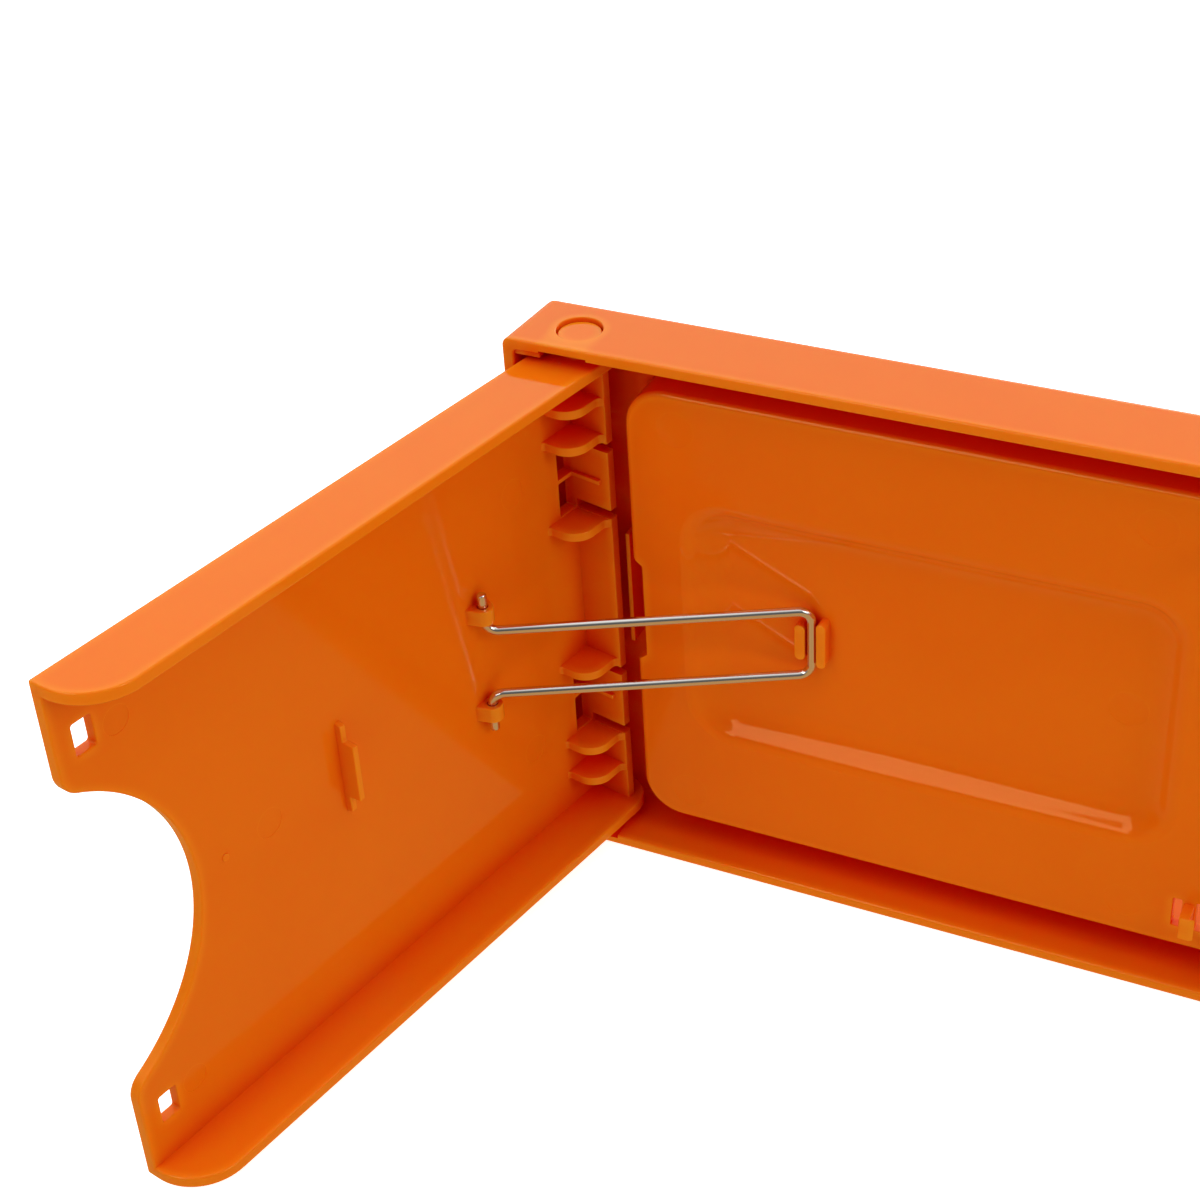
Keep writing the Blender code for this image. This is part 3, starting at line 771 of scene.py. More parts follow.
# ---- leg ----------------------------------------------------------------------------------------
@dataclass
class Leg:
    """One moulded leg: a flat panel with side flanges, a ribbed hinge knuckle and arched feet."""

    side: Side
    places: Places
    finish: bpy.types.Material
    length: float = 217.2 * MM
    depth: float = 23.3 * MM
    wall: float = 4.2 * MM
    half: float = 92.8 * MM
    flare: float = 0.0078
    edge: float = 0.7 * MM
    foot_round: float = 18.3 * MM
    toe_round: float = 8 * MM
    arch_height: float = 37.7 * MM
    arch_round: float = 62 * MM
    trunnion: float = 14.2 * MM
    trunnion_recess: float = 1.3 * MM
    web_inner: float = -1 * MM
    web_wall: float = 3.5 * MM
    web_height: float = 18.8 * MM
    gusset_size: Point2 = (14.4 * MM, 12.6 * MM)
    gusset_round: float = 7.5 * MM
    gusset_wall: float = 3.2 * MM
    gussets: tuple[float, ...] = (28.5 * MM, 61.2 * MM, 74.8 * MM)
    rib_at: float = 44 * MM
    rib_wall: float = 1.6 * MM
    window_along: float = 8.1 * MM
    slot_width: float = 3.4 * MM
    pivot_along: float = 52 * MM
    pivot_up: float = 7.2 * MM
    wire_hole: float = 3.8 * MM
    lug_spread: Point2 = (16.6 * MM, 22.4 * MM)
    hole: Point2 = (6.9 * MM, 10.4 * MM)
    hole_to_foot: float = 13.9 * MM
    hole_in: float = 65.9 * MM
    stow_along: float = 117.7 * MM
    gate_along: float = 168.6 * MM
    gate_round: float = 1.3 * MM
    pin_depth: float = 0.12 * MM
    # Each ejector pin as (along, across, radius); one off the middle has a twin across it.
    pin_marks: tuple[Point3, ...] = (
        (195.8 * MM, 69.2 * MM, 4.6 * MM),
        (150 * MM, 0.0, 5 * MM),
        (30 * MM, 52 * MM, 5 * MM),
    )
    adds: list[bpy.types.Object] = field(default_factory=list)
    cuts: list[bpy.types.Object] = field(default_factory=list)

    def at(self, along: float, up: float, across: float) -> Point3:
        """A point of the leg, measured from the hinge axis, the outer face and the middle."""
        return (up - self.depth / 2, across, -along)

    def flat(self, along: float, across: float, up: float) -> Point3:
        """The same point, given as the outlines that lie in the panel give it."""
        return self.at(along, up, across)

    def half_at(self, along: float) -> float:
        """Half the leg's width at a distance from the hinge axis."""
        return self.half + self.flare * along

    def panel_outline(self) -> list[Point2]:
        """The flat panel's outline.

        Returns:
            Points as (along, across), with the arch between the feet.
        """
        start, end = self.web_inner - self.web_wall, self.length
        centre = end - self.arch_height + self.arch_round
        toe_along = end - self.toe_round
        toe_across = math.sqrt((self.arch_round + self.toe_round) ** 2 - (centre - toe_along) ** 2)
        touch = math.degrees(math.atan2(toe_across, toe_along - centre))
        side = [(a, self.half_at(a) - self.wall / 2) for a in (start, end)]
        toe = arc((toe_along, toe_across), self.toe_round, 0, touch - 180, 12)
        arch = arc((centre, 0), self.arch_round, touch, 180, 28)
        upper = side + toe + arch[1:]
        return upper + [(a, -b) for a, b in reversed(upper[:-1])]

    def flange_outline(self) -> list[Point2]:
        """A side flange's outline.

        Returns:
            Points as (along, up), round at the hinge and rounded at the foot.
        """
        middle = self.depth / 2
        foot = (self.length - self.foot_round, self.depth - self.foot_round)
        hinge_end = arc((0, middle), middle, 90, 270, 32)
        return hinge_end + [(self.length, 0.0)] + arc(foot, self.foot_round, 0, 90, 18)

    def add_flange(self, half: int) -> None:
        """One side flange with its trunnion.

        Args:
            half: The sign of Y of that side.
        """
        outline = self.flange_outline()
        rows = [
            [self.at(a, u, half * (self.half_at(a) - inward)) for a, u in outline]
            for inward in (0, self.wall)
        ]
        self.adds.append(soften(loft("flange", rows), self.edge))
        end = self.places.half_width - self.trunnion_recess
        spread = sorted((half * (self.half - 2 * MM), half * end))
        round_bar = circle((0, 0), self.trunnion / 2, 64)
        trunnion = prism("trunnion", round_bar, lambda a, b, h: (a, h, b), *spread)
        self.adds.append(soften(trunnion, 0.5 * MM))

    def gusset_outline(self) -> list[Point2]:
        """A gusset's outline.

        Returns:
            Points as (along, up), flared where it meets the panel and the web.
        """
        web, wall, sunk = self.web_inner, self.wall, 0.6 * MM
        along, up = web + self.gusset_size[0], wall + self.gusset_size[1]
        low, high = 1.2 * MM, self.web_height - up
        outline = [(web - sunk, wall - sunk), (along + low, wall - sunk)]
        outline += arc((along + low, wall + low), low, 270, 180, 6)
        outline += arc((along - self.gusset_round, up - self.gusset_round), self.gusset_round, 0, 90, 16)
        outline += arc((web + high, self.web_height), high, 270, 180, 6)[:-1]
        return outline + [(web, self.web_height - 0.05 * MM), (web - sunk, self.web_height - 0.05 * MM)]

    def add_knuckle(self, half: int) -> None:
        """The gussets on one side of the hinge end, the web's tongue and the windows below it.

        Args:
            half: The sign of Y of that side.
        """
        web, wall, sunk = self.web_inner, self.wall, 0.6 * MM
        for across in self.gussets:
            spread = sorted(half * (across + s * self.gusset_wall / 2) for s in (-1, 1))
            self.adds.append(soften(prism("gusset", self.gusset_outline(), self.at, *spread), 0.35 * MM, 50))
        low, rib_top = 1.4 * MM, 15.5 * MM
        rib = [(web - sunk, wall - sunk), (web + low, wall - sunk)]
        rib += [(web + low, rib_top), (web - sunk, rib_top)]
        spread = sorted(half * (self.rib_at + s * self.rib_wall / 2) for s in (-1, 1))
        self.adds.append(soften(prism("web_rib", rib, self.at, *spread), 0.3 * MM))
        clear = self.gusset_wall / 2 + 0.3 * MM
        near, far = self.gussets[0] + clear, self.gussets[1] - clear
        back, front, top = web - self.web_wall - 1 * MM, web + 0.6 * MM, self.web_height + 1 * MM
        slot = [(back, wall + 0.3 * MM), (front, wall + 0.3 * MM), (front, top), (back, top)]
        for y0, y1 in ((near, near + self.slot_width), (far - self.slot_width, far)):
            self.cuts.append(prism("slot", slot, self.at, *sorted((half * y0, half * y1))))
        inset, bar = 0.3 * MM, self.rib_wall / 2
        for y0, y1 in ((near + inset, self.rib_at - bar), (self.rib_at + bar, far - inset)):
            self.cut_window(half * (y0 + y1) / 2, (y1 - y0) / 2)

    def cut_window(self, across: float, half_width: float) -> None:
        """A window through the panel at the root of the web, its edges eased on both faces.

        Args:
            across: Middle of the window from the middle of the leg.
            half_width: Half its width.
        """
        rings = []
        for grow, up in self.eased(0.35 * MM, 0.1 * MM):
            long = self.window_along + grow
            mid = (self.web_inner + long / 2, across)
            level = rounded_ring(long / 2, half_width + grow, 0.6 * MM, up, mid)
            rings.append([self.flat(*point) for point in level])
        self.cuts.append(loft("window", rings))

    def eased(self, edge: float, half_way: float) -> list[Point2]:
        """Sections of a hole through the panel whose edges are eased on both faces.

        Args:
            edge: Growth of the hole at each face, and the depth of the easing.
            half_way: Growth at a share of that depth.

        Returns:
            (growth, up) pairs from below the outer face to above the inner one.
        """
        past = 0.1 * MM
        lower = [(edge, -past), (edge, 0.0), (half_way, half_way), (0.0, edge)]
        return lower + [(grow, self.wall - up) for grow, up in reversed(lower)]

    def cut_latch_hole(self, half: int) -> None:
        """The square hole in a foot that the panel's hook snaps into.

        Args:
            half: The sign of Y of that foot.
        """
        (long, wide), corner = self.hole, 0.8 * MM
        mid = (self.length - self.hole_to_foot + long / 2, half * (self.hole_in + wide / 2))
        rings = []
        for grow, up in self.eased(0.7 * MM, 0.2 * MM):
            level = rounded_ring(long / 2 + grow, wide / 2 + grow, corner + grow, up, mid)
            rings.append([self.flat(*point) for point in level])
        self.cuts.append(loft("latch_hole", rings))

    def add_lug(self, half: int) -> None:
        """The lug that a foot of the stay turns in.

        Args:
            half: The sign of Y of that lug.
        """
        foot = 5.2 * MM
        base = self.wall - 0.6 * MM
        centre = (self.pivot_along, self.pivot_up)
        lug = [(centre[0] + foot, base)] + arc(centre, 3.6 * MM, 20, 160, 20) + [(centre[0] - foot, base)]
        low, high, past = *self.lug_spread, 1.6 * MM
        self.adds.append(soften(prism("lug", lug, self.at, *sorted((half * low, half * high))), 0.45 * MM))
        hole = circle(centre, self.wire_hole / 2, 40)
        spread = sorted((half * (low - past), half * (high + past)))
        self.cuts.append(prism("wire_hole", hole, self.at, *spread))

    def add_web(self) -> None:
        """The end web that closes the knuckle, its outer corner rounded."""
        back, front, corner = self.web_inner - self.web_wall, self.web_inner, 3.2 * MM
        web = [(back, self.web_height), (front, self.web_height), (front, 1 * MM), (back + corner, 0.0)]
        web += arc((back + corner, corner), corner, 270, 180, 10)[1:]
        reach = self.half - self.wall + 0.6 * MM
        self.adds.append(soften(prism("web", web, self.at, -reach, reach), 0.5 * MM, 50))

    def add_stow_rib(self) -> None:
        """The rib that the folded stay's arms straddle, tall in its middle."""
        tall, shoulder, wall = 10.8 * MM, 17.5 * MM, self.wall
        half_shape = [(shoulder, -0.6), (shoulder - 0.8 * MM, 2.4)]
        half_shape += [(tall + 0.1 * MM, 2.4), (tall - 0.3 * MM, 6.7)]
        shape = [(a, wall + u * MM) for a, u in half_shape]
        shape += [(-a, u) for a, u in reversed(shape)]
        low, high = self.stow_along - 1.1 * MM, self.stow_along + 1.1 * MM
        rib = prism("stow_rib", shape, lambda a, b, h: self.at(h, b, a), low, high)
        self.adds.append(soften(rib, 0.4 * MM, 30))

    def mark_mould(self) -> None:
        """The gate's nub and the shallow rounds that the mould's ejector pins leave."""
        gate = circle((self.gate_along, 0), self.gate_round, 32)
        heights = (self.wall - 0.6 * MM, self.wall + 0.5 * MM)
        self.adds.append(soften(prism("gate", gate, self.flat, *heights), 0.2 * MM))
        heights = (self.wall - self.pin_depth, self.wall + 1 * MM)
        for along, across, radius in self.pin_marks:
            for half in HALVES if across else (1,):
                pin = circle((along, half * across), radius, 40)
                self.cuts.append(prism("pin_mark", pin, self.flat, *heights))

    def build(self) -> bpy.types.Object:
        """Builds the leg in its open place.

        Returns:
            The leg as one mesh.
        """
        name = f"moulded_leg_{self.side.tag}"
        panel = prism(name, self.panel_outline(), self.flat, 0, self.wall)
        settle(soften(panel, self.edge, 50))
        self.add_web()
        for half in HALVES:
            self.add_flange(half)
            self.add_knuckle(half)
            self.cut_latch_hole(half)
            self.add_lug(half)
        self.add_stow_rib()
        self.mark_mould()
        combine(panel, Operation.JOIN, self.adds)
        combine(panel, Operation.CUT, self.cuts)
        finish_shading(panel)
        panel.data.materials.clear()
        panel.data.materials.append(self.finish)
        turn = 0.0 if self.side is Side.LEFT else math.pi
        lean = Matrix.Rotation(self.places.splay, 4, "Y")
        stand(panel, Matrix.Rotation(turn, 4, "Z") @ Matrix.Translation(self.places.hinge) @ lean)
        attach(panel, f"{self.side.tag}_leg")
        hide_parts(f"leg_{self.side.tag}")
        return panel


# ---- top panel ----------------------------------------------------------------------------------
@dataclass
class TopPanel:
    """The dished top: one skin of even thickness, with flanges, clips, hooks and hinge bores."""

    places: Places
    finish: bpy.types.Material
    wall: float = 3.9 * MM
    end_wall: float = 3.4 * MM
    end_rim: float = 4 * MM
    end_flare: float = 2.4 * MM
    corner: float = 3 * MM
    inner_corner: float = 1.2 * MM
    well_margin: float = 35 * MM
    well_side: float = 14.4 * MM
    well_floor: float = 21.9 * MM
    well_corner: float = 14 * MM
    pocket_start: float = 52 * MM
    pocket_to_middle: float = 20 * MM
    pocket_half: float = 49 * MM
    pocket_floor: float = 15.4 * MM
    pocket_lip: float = 7.8 * MM
    pocket_corner: float = 18 * MM
    bore: float = 14.8 * MM
    groove: float = 16.4 * MM
    clip_reach: float = 20 * MM
    clip_fit: float = 0.3 * MM
    hook_gap: float = 0.8 * MM
    sunk: float = 0.6 * MM

    def z(self, depth: float) -> float:
        """Height of a depth below the working face."""
        return self.places.top - depth

    def shell(self) -> bpy.types.Object:
        """Side flanges, end walls, working face and raised floor as one closed skin.

        Returns:
            The skin, with no openings yet.
        """
        length, width = self.places.half_length, self.places.half_width
        depth = self.places.top - self.places.rim
        out, inn = (length, width), (length - self.end_wall, width - self.wall)
        rim_out = (length + self.end_flare, width)
        rim_inn = (rim_out[0] - self.end_rim, inn[1])
        well = (length - self.well_margin, width - self.well_side)
        dish = (well[0] - self.wall, well[1] - self.wall)
        dish_floor = self.well_floor - self.wall
        soft, lip, edge, rim, root = 3 * MM, 2 * MM, 3 * MM, 0.8 * MM, 1.6 * MM
        rings: list[Ring] = []

        def add(
            base: Point2, radius: float, middle: Point2, bend: float, start: float, end: float
        ) -> None:
            """Adds rings round a base rectangle that follow an arc of (offset, depth).

            Args:
                base: Half the length and half the width of the rectangle.
                radius: Its corner radius.
                middle: Middle of the arc.
                bend: Radius of the arc.
                start: First angle, in degrees.
                end: Last angle, in degrees.
            """
            for offset, down in arc(middle, bend, start, end, 6):
                size = max(radius + offset, 0.5 * MM)
                rings.append(rounded_ring(base[0] + offset, base[1] + offset, size, self.z(down)))

        dish_corner = self.well_corner - self.wall
        add(dish, dish_corner, (-soft, dish_floor - soft), soft, 90, 0)
        add(dish, dish_corner, (lip, lip), lip, 180, 270)
        add(out, self.corner, (-edge, edge), edge, -90, 0)
        add(rim_out, self.corner, (-rim, depth - rim), rim, 0, 90)
        add(rim_inn, self.inner_corner, (rim, depth - rim), rim, 90, 180)
        add(inn, self.inner_corner, (-root, self.wall + root), root, 0, -90)
        add(well, self.well_corner, (root, self.wall + root), root, -90, -180)
        add(well, self.well_corner, (-lip, self.well_floor - lip), lip, 0, 90)
        return loft("moulded_top_panel", rings)

    def pocket(self, side: Side) -> tuple[bpy.types.Object, bpy.types.Object]:
        """The hollow for a folded stay.

        Args:
            side: The end it belongs to.

        Returns:
            Its skin, which stands up in the dish, and the shape that hollows it.
        """
        start, end = self.pocket_start, self.places.half_length - self.pocket_to_middle
        mid, half = side.value * (self.places.half_length - (start + end) / 2), (end - start) / 2
        # Each slope is an S: 45 degrees round the lip, and then 45 degrees into the floor.
        turn = math.radians(45)
        both = (self.well_floor - self.pocket_floor) / (1 - math.cos(turn))
        lip, lip_bend = (0.0, self.well_floor - self.pocket_lip), self.pocket_lip
        foot_bend = both - lip_bend
        foot = (-both * math.sin(turn), self.pocket_floor + foot_bend)

        def rings(pairs: Iterable[Point2]) -> list[Ring]:
            """A ring round the pocket's mouth for each section.

            Args:
                pairs: Each section's offset from the mouth and its depth.

            Returns:
                The rings.
            """
            made = []
            for offset, depth in pairs:
                size = (half + offset, self.pocket_half + offset)
                corner = max(self.pocket_corner + offset, 1 * MM)
                made.append(rounded_ring(*size, corner, self.z(depth), (mid, 0)))
            return made

        hollow = [(0.3 * MM, self.well_floor + 1 * MM)]
        hollow += arc(lip, lip_bend, 94, 135, 8) + arc(foot, foot_bend, -49, -90, 9)
        skin = [(0.4 * MM, self.well_floor - 1.2 * MM), (0.2 * MM, self.well_floor - self.wall + 0.2 * MM)]
        skin += arc(lip, lip_bend - self.wall, 98, 135, 6) + arc(foot, foot_bend + self.wall, -49, -90, 9)
        return loft("pocket_skin", rings(skin)), loft("pocket_hollow", rings(hollow))

    def build(self) -> bpy.types.Object:
        """Builds the panel in its place.

        Returns:
            The panel as one mesh.
        """
        panel = self.shell()
        pockets = [self.pocket(side) for side in Side]
        combine(panel, Operation.JOIN, [skin for skin, _ in pockets])
        combine(panel, Operation.CUT, [hollow for _, hollow in pockets])
        adds: list[bpy.types.Object] = []
        cuts: list[bpy.types.Object] = []
        for side in Side:
            PanelEnd(self, side, adds, cuts).build()
        combine(panel, Operation.JOIN, adds)
        combine(panel, Operation.CUT, cuts)
        finish_shading(panel)
        panel.data.materials.clear()
        panel.data.materials.append(self.finish)
        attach(panel, "top")
        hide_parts("top_panel")
        return panel


@dataclass
class PanelEnd:
    """The clip, notch, stop tab, hinge bores and hooks at one end of the panel."""

    panel: TopPanel
    side: Side
    adds: list[bpy.types.Object]
    cuts: list[bpy.types.Object]
    rib_inner: Point2 = (3.7 * MM, 6.9 * MM)
    rib_outer: Point2 = (3.3 * MM, 8.7 * MM)
    notch: Point2 = (3.7 * MM, 21 * MM)
    tab: Point2 = (27.7 * MM, 29.3 * MM)
    tab_half: float = 22 * MM
    tab_depth: float = 11.4 * MM
    hook_wall: float = 3.4 * MM
    pin_round: float = 6.3 * MM

    def x(self, inset: float) -> float:
        """X of a distance from this end of the panel."""
        return self.side.value * (self.panel.places.half_length - inset)

    def point(self, inset: float, across: float, depth: float) -> Point3:
        """A point given by its distance from the end, Y and depth below the working face."""
        return (self.x(inset), across, self.panel.z(depth))

    def box(self, name: str, xs: Point2, ys: Point2, depths: Point2) -> bpy.types.Object:
        """A block given by distances from the end, Y and depths below the working face."""
        (x0, x1), (y0, y1) = sorted(self.x(v) for v in xs), sorted(ys)
        return block(name, (x0, y0, self.panel.z(max(depths))), (x1, y1, self.panel.z(min(depths))))

    def add_clip(self) -> None:
        """Two round-ended ribs that grip the stay's cross bar."""
        panel = self.panel
        bar = panel.places.half_length + panel.places.bar.x
        grip = WireStay.wire / 2 + panel.clip_fit
        for start, (width, half) in (
            (bar - grip - self.rib_inner[0], self.rib_inner),
            (bar + grip, self.rib_outer),
        ):
            middle, bend = start + width / 2, width / 2
            outline = arc((middle, half - bend), bend, 0, 180, 16)
            outline += arc((middle, bend - half), bend, 180, 360, 16)
            depths = (panel.pocket_floor - panel.sunk, panel.clip_reach)
            rib = prism("clip_rib", outline, self.point, *depths)
            self.adds.append(soften(rib, 0.5 * MM, 50))

    def add_notch(self) -> None:
        """The notch in the end of the raised floor, the skin behind it, and the stop tab."""
        panel = self.panel
        start, wall, (deep, half) = panel.well_margin, panel.wall, self.notch
        insets = (start + 1 * MM, start + deep + wall)
        depths = (3 * MM, panel.well_floor - wall + panel.sunk)
        back = self.box("notch_back", insets, (-half - wall, half + wall), depths)
        self.adds.append(soften(back, 0.6 * MM))
        face, floor, slant = start - 1 * MM, start + deep, 3 * MM
        wide, narrow = half + slant * 1 * MM / deep, half - slant
        outline = [(face, wide), (floor, narrow), (floor, -narrow), (face, -wide)]
        spread = (wall + 1.8 * MM, panel.well_floor + 1 * MM)
        self.cuts.append(prism("notch", outline, self.point, *spread))
        across = (-self.tab_half, self.tab_half)
        tab = self.box("stop_tab", self.tab, across, (wall - panel.sunk, self.tab_depth))
        self.adds.append(soften(tab, 0.4 * MM))

    def cut_bore(self, half: int) -> None:
        """A hinge bore with its lead-in groove, and the guide lug beside it.

        Args:
            half: The sign of Y of that flange.
        """
        panel, places = self.panel, self.panel.places
        near, far = half * (places.half_width - panel.wall), half * places.half_width
        hinge_x, hinge_z = self.side.value * abs(places.hinge.x), places.hinge.z
        rings = []
        for grow, start, step in ((0, near, -1.5), (0, far, -0.4), (0.15, far, -0.12), (0.5, far, 0.1)):
            section = circle((0, 0), panel.bore / 2 + grow * MM, 64)
            rings.append([(hinge_x + a, start + half * step * MM, hinge_z + b) for a, b in section])
        self.cuts.append(loft("bore", rings))
        groove = panel.groove / 2
        outline = arc((0, 0), groove, 0, 180, 32) + [(-groove, -20 * MM), (groove, -20 * MM)]
        spread = sorted((near - half * 1 * MM, near + half * 1.2 * MM))
        self.cuts.append(prism("groove", outline, lambda a, b, h: (hinge_x + a, h, hinge_z + b), *spread))
        inset = places.half_length - abs(hinge_x)
        depth = places.top - places.rim
        insets = (panel.end_rim - panel.end_flare - panel.sunk, inset - groove)
        across = (near - half * 1.9 * MM, near + half * panel.sunk)
        lug = self.box("guide", insets, across, (21.5 * MM, depth - 1 * MM))
        self.adds.append(soften(lug, 0.5 * MM))

    def add_hook(self, half: int) -> None:
        """A hook for the folded leg, between the two windows its mould tool needs.

        Args:
            half: The sign of Y of that hook.
        """
        panel, places = self.panel, self.panel.places
        inset = places.half_length - abs(places.hinge.x)
        hole_x = inset + Leg.length - Leg.hole_to_foot
        stem1 = hole_x + Leg.hole[0] - panel.hook_gap
        stem0 = stem1 - self.hook_wall
        tip = places.top - places.rim - 0.3 * MM
        nose = places.top - places.hinge.z + Leg.depth / 2 + 0.35 * MM
        root = panel.well_floor - panel.sunk
        outline = [(stem0, root), (stem1, root), (stem1, nose), (stem1 + 1.7 * MM, nose + 0.2 * MM)]
        outline += [(stem1 + 0.4 * MM, tip), (stem0 + 0.5 * MM, tip), (stem0, tip - 0.6 * MM)]
        low, high = Leg.hole_in, Leg.hole_in + Leg.hole[1]
        spread = sorted((half * (low + panel.hook_gap), half * (high - panel.hook_gap)))
        hook = prism("hook", outline, lambda a, b, h: self.point(a, h, b), *spread)
        self.adds.append(soften(hook, 0.3 * MM, 30))
        for start, end in ((hole_x - 0.9 * MM, stem0 - 0.7 * MM), (stem1 + 0.5 * MM, stem1 + 8 * MM)):
            mid = (self.x((start + end) / 2), half * ((low + high) / 2 + 0.3 * MM))
            size = ((end - start) / 2, (high - low) / 2 + 0.5 * MM)
            rings = []
            for grow, depth in ((0.5, 0.2), (0.5, 0.0), (0.15, -0.15), (0.0, -0.5), (0.0, -5.9)):
                grown = (size[0] + grow * MM, size[1] + grow * MM)
                level = panel.z(panel.well_floor + depth * MM)
                rings.append(rounded_ring(*grown, (0.5 + grow) * MM, level, mid))
            self.cuts.append(loft("window", rings))

    def mark_mould(self) -> None:
        """Shallow rounds that the mould's ejector pins leave on the floors."""
        panel = self.panel
        marks = [(200 * MM, 0.0, panel.pocket_floor, 0.45 * MM)]
        for inset, across in ((205 * MM, 72 * MM), (52.5 * MM, 73 * MM)):
            marks += [(inset, half * across, panel.well_floor, 0.2 * MM) for half in HALVES]
        for inset, across, floor, deep in marks:
            self.cuts.append(self.pin_mark((inset, across), floor, deep))

    def pin_mark(self, middle: Point2, floor: float, deep: float) -> bpy.types.Object:
        """A shallow dish with a fine step round it.

        Args:
            middle: Distance from the end, and Y.
            floor: Depth of the face it is in.
            deep: Depth of the dish below that face.

        Returns:
            The shape to cut away.
        """
        step = 0.06 * MM
        shares = (1.0, 0.9, 0.75, 0.6, 0.45, 0.3, 0.15)
        levels = [(1.0, 1 * MM)] + [(s, -step - (deep - step) * (1 - s * s)) for s in shares]
        return loft(
            "pin_mark",
            [
                [self.point(a, b, floor + down) for a, b in circle(middle, self.pin_round * share)]
                for share, down in levels
            ],
        )

    def build(self) -> None:
        """Adds this end's shapes to the panel's lists."""
        self.add_clip()
        self.add_notch()
        for half in HALVES:
            self.cut_bore(half)
            self.add_hook(half)
        self.mark_mould()


# ---- studio -------------------------------------------------------------------------------------
@dataclass(frozen=True)
class Softbox:
    """A rectangular area light that points at the trestle."""

    name: str
    place: Point3
    width: float
    height: float
    power: float
    colour: str = "FFFFFF"

    def build(self, aim: Vector) -> bpy.types.Object:
        """Builds the light in its place.

        Args:
            aim: The point it faces.

        Returns:
            The light, which the camera doesn't see.
        """
        data = bpy.data.lights.new(self.name, "AREA")
        data.shape = "RECTANGLE"
        data.size, data.size_y = self.width, self.height
        data.energy = self.power
        data.color = linear(self.colour)[:3]
        made = bpy.data.objects.new(self.name, data)
        made.location = self.place
        made.rotation_euler = (aim - Vector(self.place)).to_track_quat("-Z", "Y").to_euler()
        made.visible_camera = False
        bpy.context.scene.collection.objects.link(made)
        return made


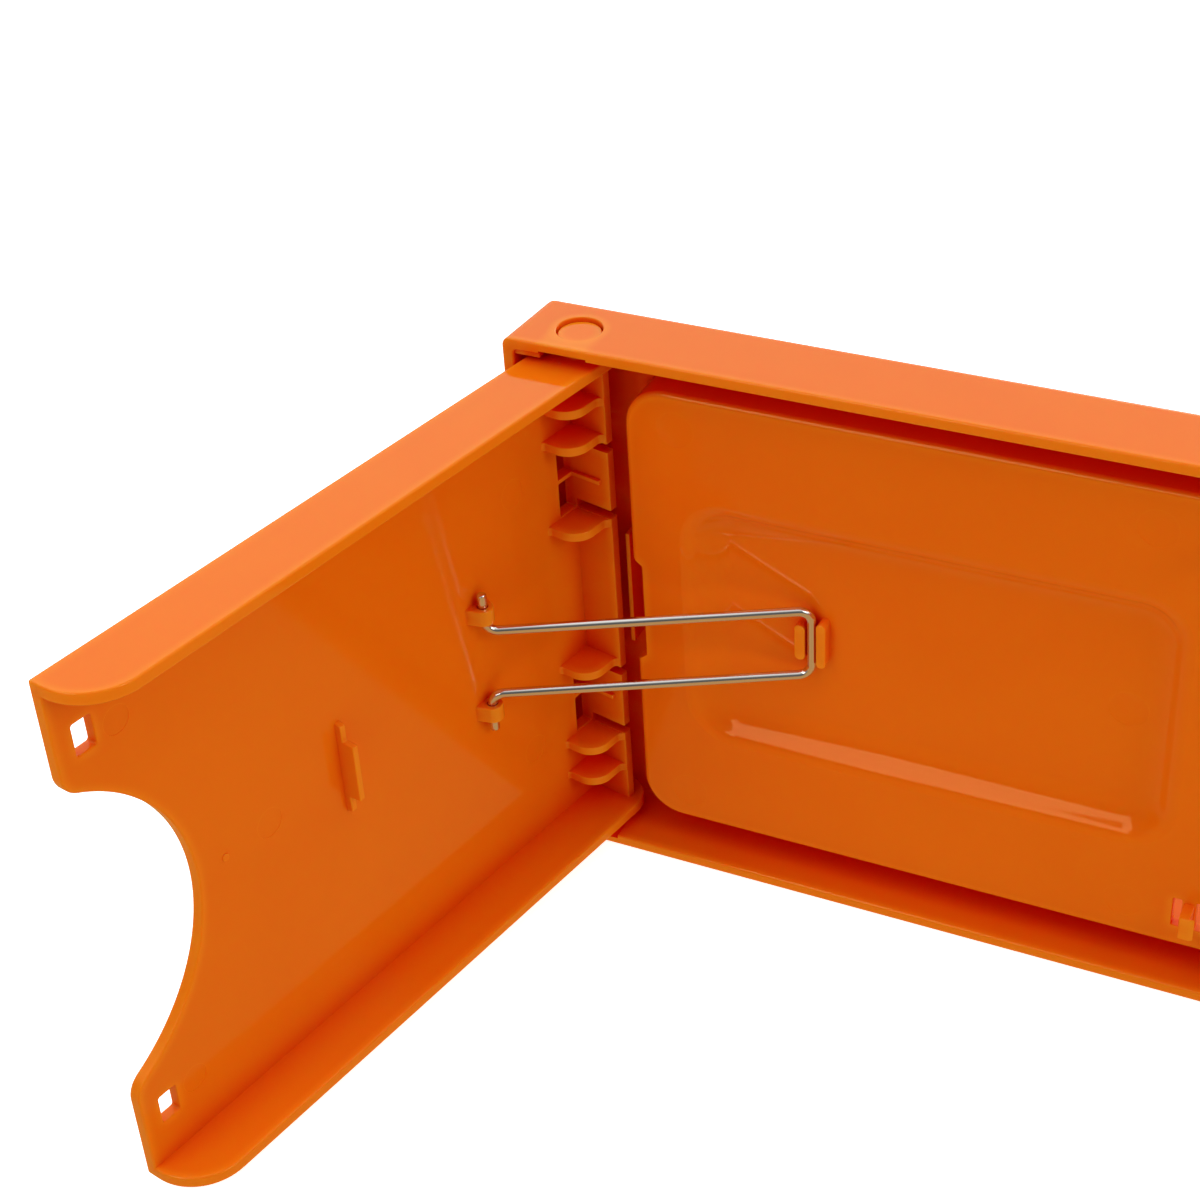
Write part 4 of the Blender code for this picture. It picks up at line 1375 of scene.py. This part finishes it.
@dataclass
class Studio:
    """A pale floor, a pale sweep behind the trestle, soft lights and the camera."""

    places: Places
    camera_place: Point3 = (82.6 * MM, -455.7 * MM, -366.2 * MM)
    camera_aim: Point3 = (-217.7 * MM, -0.6 * MM, 205.3 * MM)
    camera_roll: float = 38.449
    lens: float = 70.78
    sensor: float = 36.0
    light_aim: float = 0.6
    reach: float = 3.0
    sweep_gap: float = 0.4 * MM
    ceiling_toward: Point3 = (-0.1, -0.8, 0.5)
    ceiling_core: float = 0.85
    ceiling_glow: float = 1.1
    room_dark: float = 0.1
    sweep_edge: float = 0.04
    sweep_glow: float = 0.85
    sweep_mirrored: str = "D6A466"
    softboxes: tuple[Softbox, ...] = (
        Softbox("fill_from_below", (-0.6, -1.0, -0.9), 0.5, 1.4, 5.4),
        Softbox("side_from_the_right", (1.2, -0.9, -0.15), 0.6, 0.6, 5.2),
        Softbox("overhead", (0.2, -0.4, 1.6), 1.2, 1.2, 4),
    )

    def paper(
        self, name: str, corners: list[Point3], finish: bpy.types.Material
    ) -> bpy.types.Object:
        """One flat sheet that the camera sees but that sends no light to the trestle.

        Args:
            name: Name of the sheet.
            corners: Its four corners, in turn.
            finish: Its material.

        Returns:
            The sheet.
        """
        mesh = bpy.data.meshes.new(name)
        mesh.from_pydata(corners, [], [(0, 1, 2, 3)])
        sheet = bpy.data.objects.new(name, mesh)
        bpy.context.scene.collection.objects.link(sheet)
        mesh.materials.append(finish)
        return sheet

    def build_sheets(self) -> None:
        """The floor faces up, and the sweep behind the trestle faces the front."""
        finish = OneSidedPaper("matt_white_paper").material()
        far, back = self.reach, self.places.half_width + self.sweep_gap
        square = ((-far, -far), (far, -far), (far, far), (-far, far))
        floor = self.paper("floor", [(x, y, 0) for x, y in square], finish)
        sweep = self.paper("sweep", [(x, back, z) for x, z in square], finish)
        for sheet in (floor, sweep):
            sheet.visible_shadow = False
            sheet.visible_diffuse = False
            sheet.visible_glossy = False

    def build_room(self) -> None:
        """Light from all round: a bright ceiling in front, a white sweep behind, a dark room below."""
        world = bpy.data.worlds.new("studio_room")
        bpy.context.scene.world = world
        world.use_nodes = True
        tree = world.node_tree
        room = tree.nodes["Background"]
        toward = add_node(tree, "ShaderNodeTexCoord").outputs["Generated"]
        ceiling = add_node(
            tree,
            "ShaderNodeVectorMath",
            {0: toward, 1: tuple(Vector(self.ceiling_toward).normalized())},
            operation="DOT_PRODUCT",
        )
        glow = add_node(
            tree,
            "ShaderNodeMapRange",
            {
                "Value": ceiling.outputs["Value"],
                "From Min": 0.0,
                "From Max": self.ceiling_core,
                "To Min": self.room_dark,
                "To Max": self.ceiling_glow,
            },
            interpolation_type="SMOOTHSTEP",
        )
        behind = add_node(
            tree,
            "ShaderNodeMapRange",
            {
                "Value": add_node(tree, "ShaderNodeSeparateXYZ", {0: toward}).outputs["Y"],
                "From Min": -self.sweep_edge,
                "From Max": self.sweep_edge,
            },
            interpolation_type="SMOOTHSTEP",
        )
        level = add_node(
            tree,
            "ShaderNodeMix",
            {0: behind.outputs[0], 2: glow.outputs[0], 3: self.sweep_glow},
        )
        tree.links.new(level.outputs[0], room.inputs["Strength"])
        paths = add_node(tree, "ShaderNodeLightPath")
        warm = add_node(
            tree,
            "ShaderNodeMath",
            {0: behind.outputs[0], 1: paths.outputs["Is Glossy Ray"]},
            operation="MULTIPLY",
        )
        tone = add_node(
            tree,
            "ShaderNodeMix",
            {0: warm.outputs[0], 6: linear("FFFFFF"), 7: linear(self.sweep_mirrored)},
            data_type="RGBA",
        )
        tree.links.new(tone.outputs[2], room.inputs["Color"])
        seen = add_node(tree, "ShaderNodeBackground", {"Color": linear("FFFFFF"), "Strength": 1.0})
        direct = paths.outputs["Is Camera Ray"]
        both = add_node(
            tree,
            "ShaderNodeMixShader",
            {0: direct, 1: room.outputs[0], 2: seen.outputs[0]},
        )
        tree.links.new(both.outputs[0], tree.nodes["World Output"].inputs["Surface"])

    def build_camera(self) -> None:
        """The camera looks up at the underside from the front."""
        data = bpy.data.cameras.new("camera")
        data.lens = self.lens
        data.sensor_width = self.sensor
        data.clip_start = 10 * MM
        camera = bpy.data.objects.new("camera", data)
        bpy.context.scene.collection.objects.link(camera)
        place, aim = Vector(self.camera_place), Vector(self.camera_aim)
        facing = (aim - place).to_track_quat("-Z", "Y").to_matrix().to_4x4()
        roll = Matrix.Rotation(math.radians(self.camera_roll), 4, "Z")
        camera.matrix_world = Matrix.Translation(place) @ facing @ roll
        bpy.context.scene.camera = camera

    def build(self) -> None:
        """Sheets, lights, world and camera."""
        scene = bpy.context.scene
        scene.view_settings.view_transform = "Standard"
        self.build_room()
        self.build_sheets()
        aim = Vector((0, 0, self.places.top * self.light_aim))
        for softbox in self.softboxes:
            softbox.build(aim)
        self.build_camera()


# ---- assembly -----------------------------------------------------------------------------------
def write_sizes() -> None:
    """Updates the view layer so that every transform is current."""
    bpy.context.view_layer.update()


def main() -> None:
    """Builds every piece in order and reports it."""
    logging.basicConfig(level=logging.INFO, format="%(message)s")
    places = Places.from_frame()
    panel_finish = MouldedPolypropylene("moulded_polypropylene_panel").material()
    leg_finish = MouldedPolypropylene("moulded_polypropylene_leg", main="F47A0A", flow="F07008").material()
    wire_finish = DrawnSteelWire("drawn_steel_wire").material()
    pieces = [TopPanel(places, panel_finish)]
    for side in Side:
        pieces.append(Leg(side, places, leg_finish))
        pieces.append(WireStay(side, places, wire_finish))
    for piece in pieces:
        made = piece.build()
        LOG.info("%s: %d faces", made.name, len(made.data.polygons))
    Studio(places).build()
    write_sizes()


if __name__ == "__main__":
    main()
